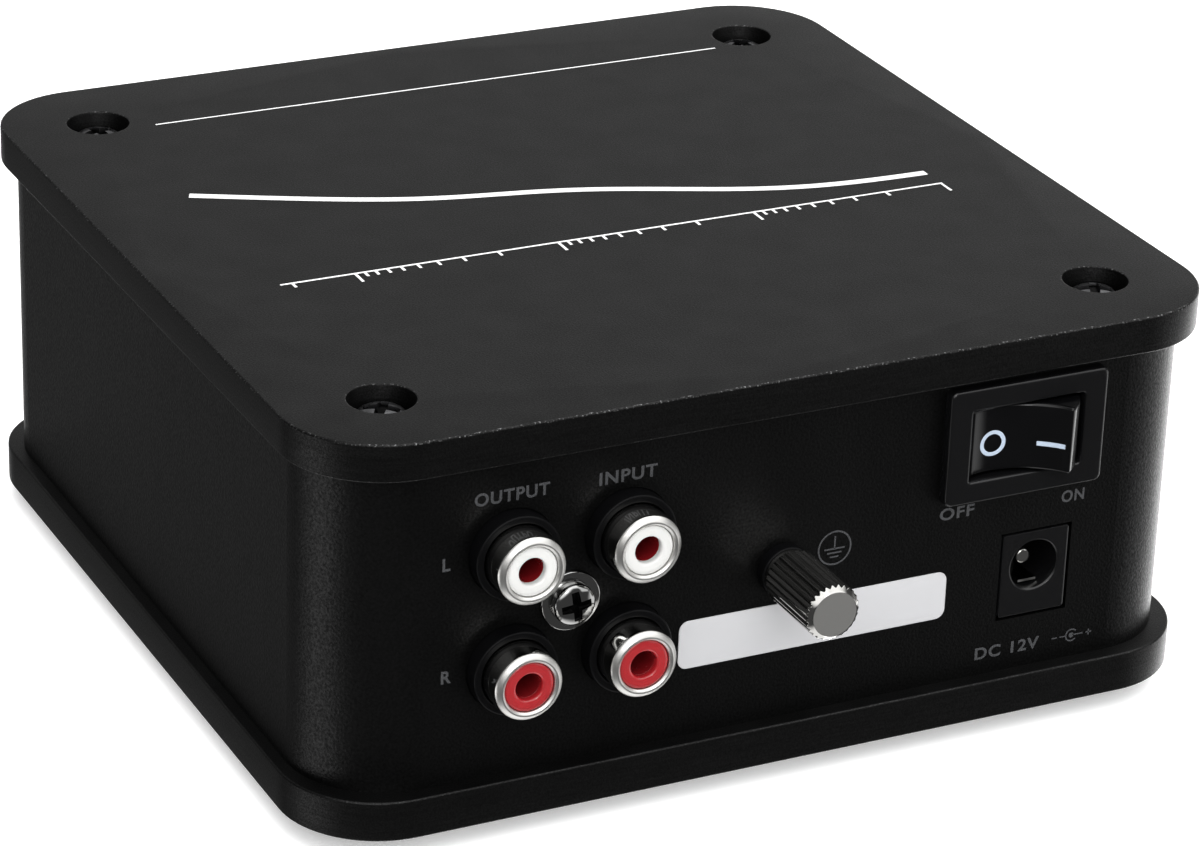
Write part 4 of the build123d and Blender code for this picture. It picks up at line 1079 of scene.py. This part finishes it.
def build_legends():
    """Grey screen print of the rear wall, a hair above the skin: words and two symbols."""
    parts = [out_of_rear(moved(lettering(text, height, width), (0, 0, PRINT_HEIGHT)), x, z)
             for text, height, x, z, width in LEGENDS]
    line = 0.1
    earth = [flat_ring(2.2, 1.98, PRINT_HEIGHT), flat_bar((-line, line), (-line, 1.5), PRINT_HEIGHT)]
    for drop, half in ((-0.1, 1.35), (-0.62, 0.95), (-1.14, 0.55)):
        earth.append(flat_bar((-half, half), (drop - line, drop + line), PRINT_HEIGHT))
    parts += [out_of_rear(part, -6.66, 28.6) for part in earth]
    open_ring = flat_ring(0.85, 0.67, PRINT_HEIGHT, 40, radians(40), radians(320))
    dot = flat_ring(0.34, 0.0, PRINT_HEIGHT, 24)
    # The strokes of the polarity symbol: two leads, minus, and the two bars of plus.
    strokes = (((-1.6, -0.8), (-0.08, 0.08)), ((0.2, 1.6), (-0.08, 0.08)), ((-2.7, -2.0), (-0.09, 0.09)),
               ((2.0, 2.8), (-0.09, 0.09)), ((2.31, 2.49), (-0.4, 0.4)))
    polarity = [open_ring, dot, *(flat_bar(x, y, PRINT_HEIGHT) for x, y in strokes)]
    parts += [out_of_rear(part, -39.9, 10.8) for part in polarity]
    make_piece("rear_legends", parts, "enclosure", screen_ink("grey_panel_ink", finishes().panel_ink),
               closed=False)


def build_top_print():
    """White print of the top plate: a fine rule, and a curve over a logarithmic scale.

    The curve is the playback curve of long-playing records: its level in decibels at
    frequency f is 20 log10 of |1 + jf 318e-6 w| / (|1 + jf 3180e-6 w| |1 + jf 75e-6 w|),
    with w = 2 pi, drawn from 10 Hz up. Widths and heights are millimetres.
    """
    decades, half_wide = 3.35, 44
    curve_top, curve_drop, half_line = 8.0, 26.0, 0.65
    scale_y, half_tick, long_tick, short_tick = 12.0, 0.18, 2.4, 1.1
    parts = [flat_bar((-40.1, 39.3), (-42.15, -41.85), 0)]
    share = np.linspace(0, 1, 120)
    turn = tau * 10 ** (1.0 + decades * share)
    level = 20 * np.log10(np.abs(1 + 318e-6j * turn) / np.abs((1 + 3180e-6j * turn) * (1 + 75e-6j * turn)))
    level = (level - level.min()) / (level.max() - level.min())
    x, y = 2 * half_wide * share - half_wide, curve_top - curve_drop * (1 - level)
    slope = np.gradient(y, x)
    across = np.column_stack([-slope, np.ones_like(slope)]) / np.sqrt(1 + slope ** 2)[:, None]
    path = np.column_stack([x, y])
    band = np.stack([path - across * half_line, path + across * half_line], axis=1)
    parts.append(lattice(np.concatenate([band, np.zeros((*band.shape[:2], 1))], axis=-1), round_u=False))
    for decade in range(4):
        for step in range(1, 10):
            place = (decade + np.log10(step)) / decades
            if place <= 1:
                tall = long_tick if step == 1 else short_tick
                tick = 2 * half_wide * place - half_wide
                parts.append(flat_bar((tick - half_tick, tick + half_tick), (scale_y, scale_y + tall), 0))
    ends = half_wide + half_tick
    parts.append(flat_bar((-ends, ends), (scale_y - 2 * half_tick, scale_y), 0))
    _, high, centre = span("top_plate")
    parts = [moved(part, (centre[0], centre[1], high[2] + PRINT_HEIGHT)) for part in parts]
    make_piece("top_print", parts, "enclosure", screen_ink("white_top_ink", finishes().top_ink),
               closed=False)


# --- front and inside ------------------------------------------------------------------
def build_front_controls():
    """Selector button with a dished cap and a domed power light."""
    low, high, (x, _, z) = span("selector_button")
    radius, proud, stem_end = (high[0] - low[0]) / 2, FRONT_WALL - low[1], FRONT_WALL - high[1]
    cap_back, stem_half, overlap = proud - 8.4, 1.2, 0.5
    cap = eased([(0, proud - 0.25), (radius - 1.2, proud - 0.18), (radius - 0.5, proud), (radius, proud),
                 (radius, cap_back), (0, cap_back)], [0, 0.6, 0.2, 0.5, 0.2, 0], 8)
    stem = block(stem_half, stem_half, stem_end, cap_back + overlap, corner=0.2, edge=0.1)
    make_piece("selector_cap", [out_of_front(turned(cap, 72), x, z), out_of_front(stem, x, z)],
               "selector_button_body", bpy.data.materials["glossy_black_nylon"],
               ["selector_button"])
    low, high, (x, _, z) = span("power_led")
    radius, proud, back = (high[0] - low[0]) / 2, FRONT_WALL - low[1], FRONT_WALL - high[1]
    dome_height = radius * 0.9
    t = np.linspace(0, pi / 2, 12)
    dome = np.column_stack([radius * np.cos(t), proud - dome_height + dome_height * np.sin(t)])
    lens = np.vstack([[(0, back), (radius, back)], dome])
    green = moulded_plastic("green_lens_epoxy", linear("#4FBF6A"), 0.12, 2.0, 0.002, coat=0.6)
    make_piece("power_lens", [out_of_front(turned(lens, 48), x, z)], "enclosure", green,
               ["power_led"])


def build_electronics():
    """Finishes of the parts on the board, and of what holds it."""
    dress(solder_mask(), "circuit_board")
    dress(rolled_metal("turned_brass", "#C8A45A", 0.28), *[f"board_standoff_{n}" for n in range(1, 5)])
    dress(bpy.data.materials[FRAME_STEEL], "board_screws", "opamp_pins", "selector_switch")
    dress(moulded_plastic("epoxy_mould", linear("#141414"), 0.55, 0.3, 0.02),
          "opamp_left", "opamp_right", "voltage_regulator", "led_holder")
    dress(moulded_plastic("dipped_red_epoxy", linear("#9C3A1E"), 0.28, 2.5, 0.03, coat=0.3),
          "film_capacitor_left", "film_capacitor_right")
    dress(banded("printed_capacitor_sleeve", "#11131C", "#1B2030", 9.0, "Z", 0.3),
          *[f"reservoir_capacitor_{n}" for n in range(1, 4)])
    dress(banded("enamelled_copper_wire", "#6E2F12", "#B4642F", 0.8, "DIAGONAL", 0.25, metallic=1.0),
          "supply_inductor")
    dress(banded("banded_resistor_coat", "#5A2A1C", "#7FA9C4", 1.5, "Y", 0.35), "resistors")


# --- stage -----------------------------------------------------------------------------
# Soft panels of the studio: direction, angle where its glow starts, angle of full glow, glow.
STUDIO = (
    ((-0.35, -0.75, 0.3), 75, 15, 0.32),
    ((0.9, -0.11, -0.42), 23, 6, 2.0),
    ((-0.6, -0.62, -0.55), 44, 12, 4.4),
    ((-0.87, 0.3, -0.3), 26, 8, 1.2),
    ((-0.35, 0.15, 0.9), 50, 25, 2.0),
    ((0.38, 0.72, 0.58), 36, 14, 1.8),
    ((0.2, 0.85, 0.5), 8, 4, 9.0),
    ((0.0, 0.0, -1.0), 42, 15, 1.4),
)
# Lamps: name, place and aim in metres, size, power, and whether a reflection shows them.
LAMPS = (
    ("fill_above", (0.25, 0.5, 1.1), (0, 0, 0), 1.8, 19.0, False),
    ("rear_right", (-0.9, 0.9, 0.4), (0, 0, 0.02), 0.6, 1.2, True),
    ("left", (1.1, 0.35, 0.35), (0, 0, 0.02), 0.5, 0.2, True),
)
BASE_GLOW = 0.08  # of the studio, all round
FLOOR_HALF = 4.0  # in metres
# Camera: place in millimetres, turns about Z, X and the line of sight, then its lens and
# sensor in millimetres and the lens's sideways shift.
CAMERA_PLACE = (224.2, 449.94, 254.66)
CAMERA_AZIMUTH, CAMERA_ELEVATION, CAMERA_ROLL = radians(153.585), radians(24.673), radians(1.909)
CAMERA_LENS, CAMERA_SENSOR, CAMERA_SHIFT = 133.89, 36.0, 0.0133


def build_floor():
    """Light table under the feet, not seen in reflections."""
    mesh = bpy.data.meshes.new("floor")
    corners = [(x * FLOOR_HALF, y * FLOOR_HALF, 0) for x, y in ((-1, -1), (1, -1), (1, 1), (-1, 1))]
    mesh.from_pydata(corners, [], [(0, 1, 2, 3)])
    mesh.materials.append(lit_table())
    floor = bpy.data.objects.new("floor", mesh)
    bpy.context.scene.collection.objects.link(floor)
    floor.visible_glossy = False


def build_studio():
    """World of soft panels: each adds its glow where the view points its way."""
    world = bpy.data.worlds.new("studio")
    bpy.context.scene.world = world
    world.use_nodes = True
    tree = world.node_tree
    tree.nodes.clear()
    way = add(tree, "ShaderNodeTexCoord").outputs["Generated"]
    glow = BASE_GLOW
    for toward, start, full, bright in STUDIO:
        facing = add(tree, "ShaderNodeVectorMath", {0: way, 1: Vector(toward).normalized()},
                     operation="DOT_PRODUCT")
        part = add(tree, "ShaderNodeMapRange", {
            "Value": facing.outputs["Value"], "From Min": cos(radians(start)),
            "From Max": cos(radians(full)), "To Max": bright}, interpolation_type="SMOOTHSTEP")
        glow = add(tree, "ShaderNodeMath", {0: glow, 1: part.outputs["Result"]}).outputs["Value"]
    soft = add(tree, "ShaderNodeBackground", {"Color": (1, 1, 1, 1), "Strength": glow})
    add(tree, "ShaderNodeOutputWorld", {"Surface": soft.outputs["Background"]})


def build_lamps():
    """Square area lamps, each turned to its aim."""
    for name, place, aim, size, power, glossy in LAMPS:
        lamp = bpy.data.lights.new(name, "AREA")
        lamp.shape = "SQUARE"
        lamp.size = size
        lamp.energy = power
        holder = bpy.data.objects.new(name, lamp)
        holder.location = place
        holder.rotation_euler = (Vector(aim) - Vector(place)).to_track_quat("-Z", "Y").to_euler()
        holder.visible_glossy = glossy
        bpy.context.scene.collection.objects.link(holder)


def build_camera():
    """Long-lens camera low over the rear left corner."""
    scene = bpy.context.scene
    lens = bpy.data.cameras.new("camera")
    lens.sensor_width = CAMERA_SENSOR
    lens.lens = CAMERA_LENS
    lens.shift_x = CAMERA_SHIFT
    lens.clip_start, lens.clip_end = 0.01, 20.0
    camera = bpy.data.objects.new("camera", lens)
    camera.matrix_world = (Matrix.Translation(Vector(CAMERA_PLACE) * MM)
                           @ Matrix.Rotation(CAMERA_AZIMUTH, 4, "Z")
                           @ Matrix.Rotation(pi / 2 - CAMERA_ELEVATION, 4, "X")
                           @ Matrix.Rotation(CAMERA_ROLL, 4, "Z"))
    scene.collection.objects.link(camera)
    scene.camera = camera
    scene.view_settings.view_transform = "Standard"


# --- operators, panel and main ---------------------------------------------------------
class PREAMP_OT_plates(bpy.types.Operator):
    """Top and base plate with eased, faintly worn edges and four counterbores each"""

    bl_idname = "preamp.plates"
    bl_label = "Plates"

    def execute(self, context):
        build_plates()
        return {"FINISHED"}


class PREAMP_OT_sleeve(bpy.types.Operator):
    """Finish of the sleeve between the plates"""

    bl_idname = "preamp.sleeve"
    bl_label = "Sleeve"

    def execute(self, context):
        build_sleeve()
        return {"FINISHED"}


class PREAMP_OT_case_screws(bpy.types.Operator):
    """Cross-head screws sunk in the counterbores of both plates"""

    bl_idname = "preamp.case_screws"
    bl_label = "Case Screws"

    def execute(self, context):
        build_case_screws()
        return {"FINISHED"}


class PREAMP_OT_feet(bpy.types.Operator):
    """Four rubber feet under the base plate"""

    bl_idname = "preamp.feet"
    bl_label = "Feet"

    def execute(self, context):
        build_feet()
        return {"FINISHED"}


class PREAMP_OT_jacks(bpy.types.Operator):
    """Four phono jacks in their block, and the screw between them"""

    bl_idname = "preamp.jacks"
    bl_label = "Phono Jacks"

    def execute(self, context):
        build_jacks()
        build_jack_screw()
        return {"FINISHED"}


class PREAMP_OT_ground_post(bpy.types.Operator):
    """Threaded ground post with its collar, washer and knurled nut"""

    bl_idname = "preamp.ground_post"
    bl_label = "Ground Post"

    def execute(self, context):
        build_ground_post()
        return {"FINISHED"}


class PREAMP_OT_rocker_switch(bpy.types.Operator):
    """Rocker switch in its bezel, with its two marks"""

    bl_idname = "preamp.rocker_switch"
    bl_label = "Rocker Switch"

    def execute(self, context):
        build_bezel()
        build_rocker()
        build_rocker_marks()
        build_switch_inside()
        return {"FINISHED"}


class PREAMP_OT_dc_inlet(bpy.types.Operator):
    """DC inlet with its bore, centre pin and leaf"""

    bl_idname = "preamp.dc_inlet"
    bl_label = "DC Inlet"

    def execute(self, context):
        build_dc_inlet()
        return {"FINISHED"}


class PREAMP_OT_prints(bpy.types.Operator):
    """Blank label, grey legends of the rear wall and white print of the top"""

    bl_idname = "preamp.prints"
    bl_label = "Label and Prints"

    def execute(self, context):
        build_label()
        build_legends()
        build_top_print()
        return {"FINISHED"}


class PREAMP_OT_front_controls(bpy.types.Operator):
    """Selector button and power light of the front wall"""

    bl_idname = "preamp.front_controls"
    bl_label = "Front Controls"

    def execute(self, context):
        build_front_controls()
        return {"FINISHED"}


class PREAMP_OT_electronics(bpy.types.Operator):
    """Finishes of the circuit board and its parts"""

    bl_idname = "preamp.electronics"
    bl_label = "Electronics"

    def execute(self, context):
        build_electronics()
        return {"FINISHED"}


class PREAMP_OT_stage(bpy.types.Operator):
    """Floor, lamps and camera"""

    bl_idname = "preamp.stage"
    bl_label = "Stage"

    def execute(self, context):
        build_floor()
        build_studio()
        build_lamps()
        build_camera()
        return {"FINISHED"}


OPERATORS = (
    PREAMP_OT_plates, PREAMP_OT_sleeve, PREAMP_OT_case_screws, PREAMP_OT_feet, PREAMP_OT_jacks,
    PREAMP_OT_ground_post, PREAMP_OT_rocker_switch, PREAMP_OT_dc_inlet, PREAMP_OT_prints,
    PREAMP_OT_front_controls, PREAMP_OT_electronics, PREAMP_OT_stage,
)


class PREAMP_PT_panel(bpy.types.Panel):
    """Every step of the build, and the sizes and finishes it reads"""

    bl_idname = "PREAMP_PT_panel"
    bl_label = "Phono Preamp"
    bl_space_type = "VIEW_3D"
    bl_region_type = "UI"
    bl_category = "Preamp"

    def draw(self, context):
        for operator in OPERATORS:
            self.layout.operator(operator.bl_idname)
        scene = context.scene
        for group in (scene.preamp_case, scene.preamp_connectors, scene.preamp_finishes):
            box = self.layout.box()
            for key in group.bl_rna.properties.keys():
                if key not in ("rna_type", "name"):
                    box.prop(group, key)


CLASSES = (PreampCaseSizes, PreampConnectorSizes, PreampFinishes, *OPERATORS, PREAMP_PT_panel)


def register():
    for kind in CLASSES:
        bpy.utils.register_class(kind)
    bpy.types.Scene.preamp_case = bpy.props.PointerProperty(type=PreampCaseSizes)
    bpy.types.Scene.preamp_connectors = bpy.props.PointerProperty(type=PreampConnectorSizes)
    bpy.types.Scene.preamp_finishes = bpy.props.PointerProperty(type=PreampFinishes)


def unregister():
    del bpy.types.Scene.preamp_case, bpy.types.Scene.preamp_connectors, bpy.types.Scene.preamp_finishes
    for kind in reversed(CLASSES):
        bpy.utils.unregister_class(kind)


def main():
    """Build everything in order."""
    register()
    for step in ("plates", "sleeve", "case_screws", "feet", "jacks", "ground_post", "rocker_switch",
                 "dc_inlet", "prints", "front_controls", "electronics", "stage"):
        getattr(bpy.ops.preamp, step)()


if __name__ == "__main__":
    main()
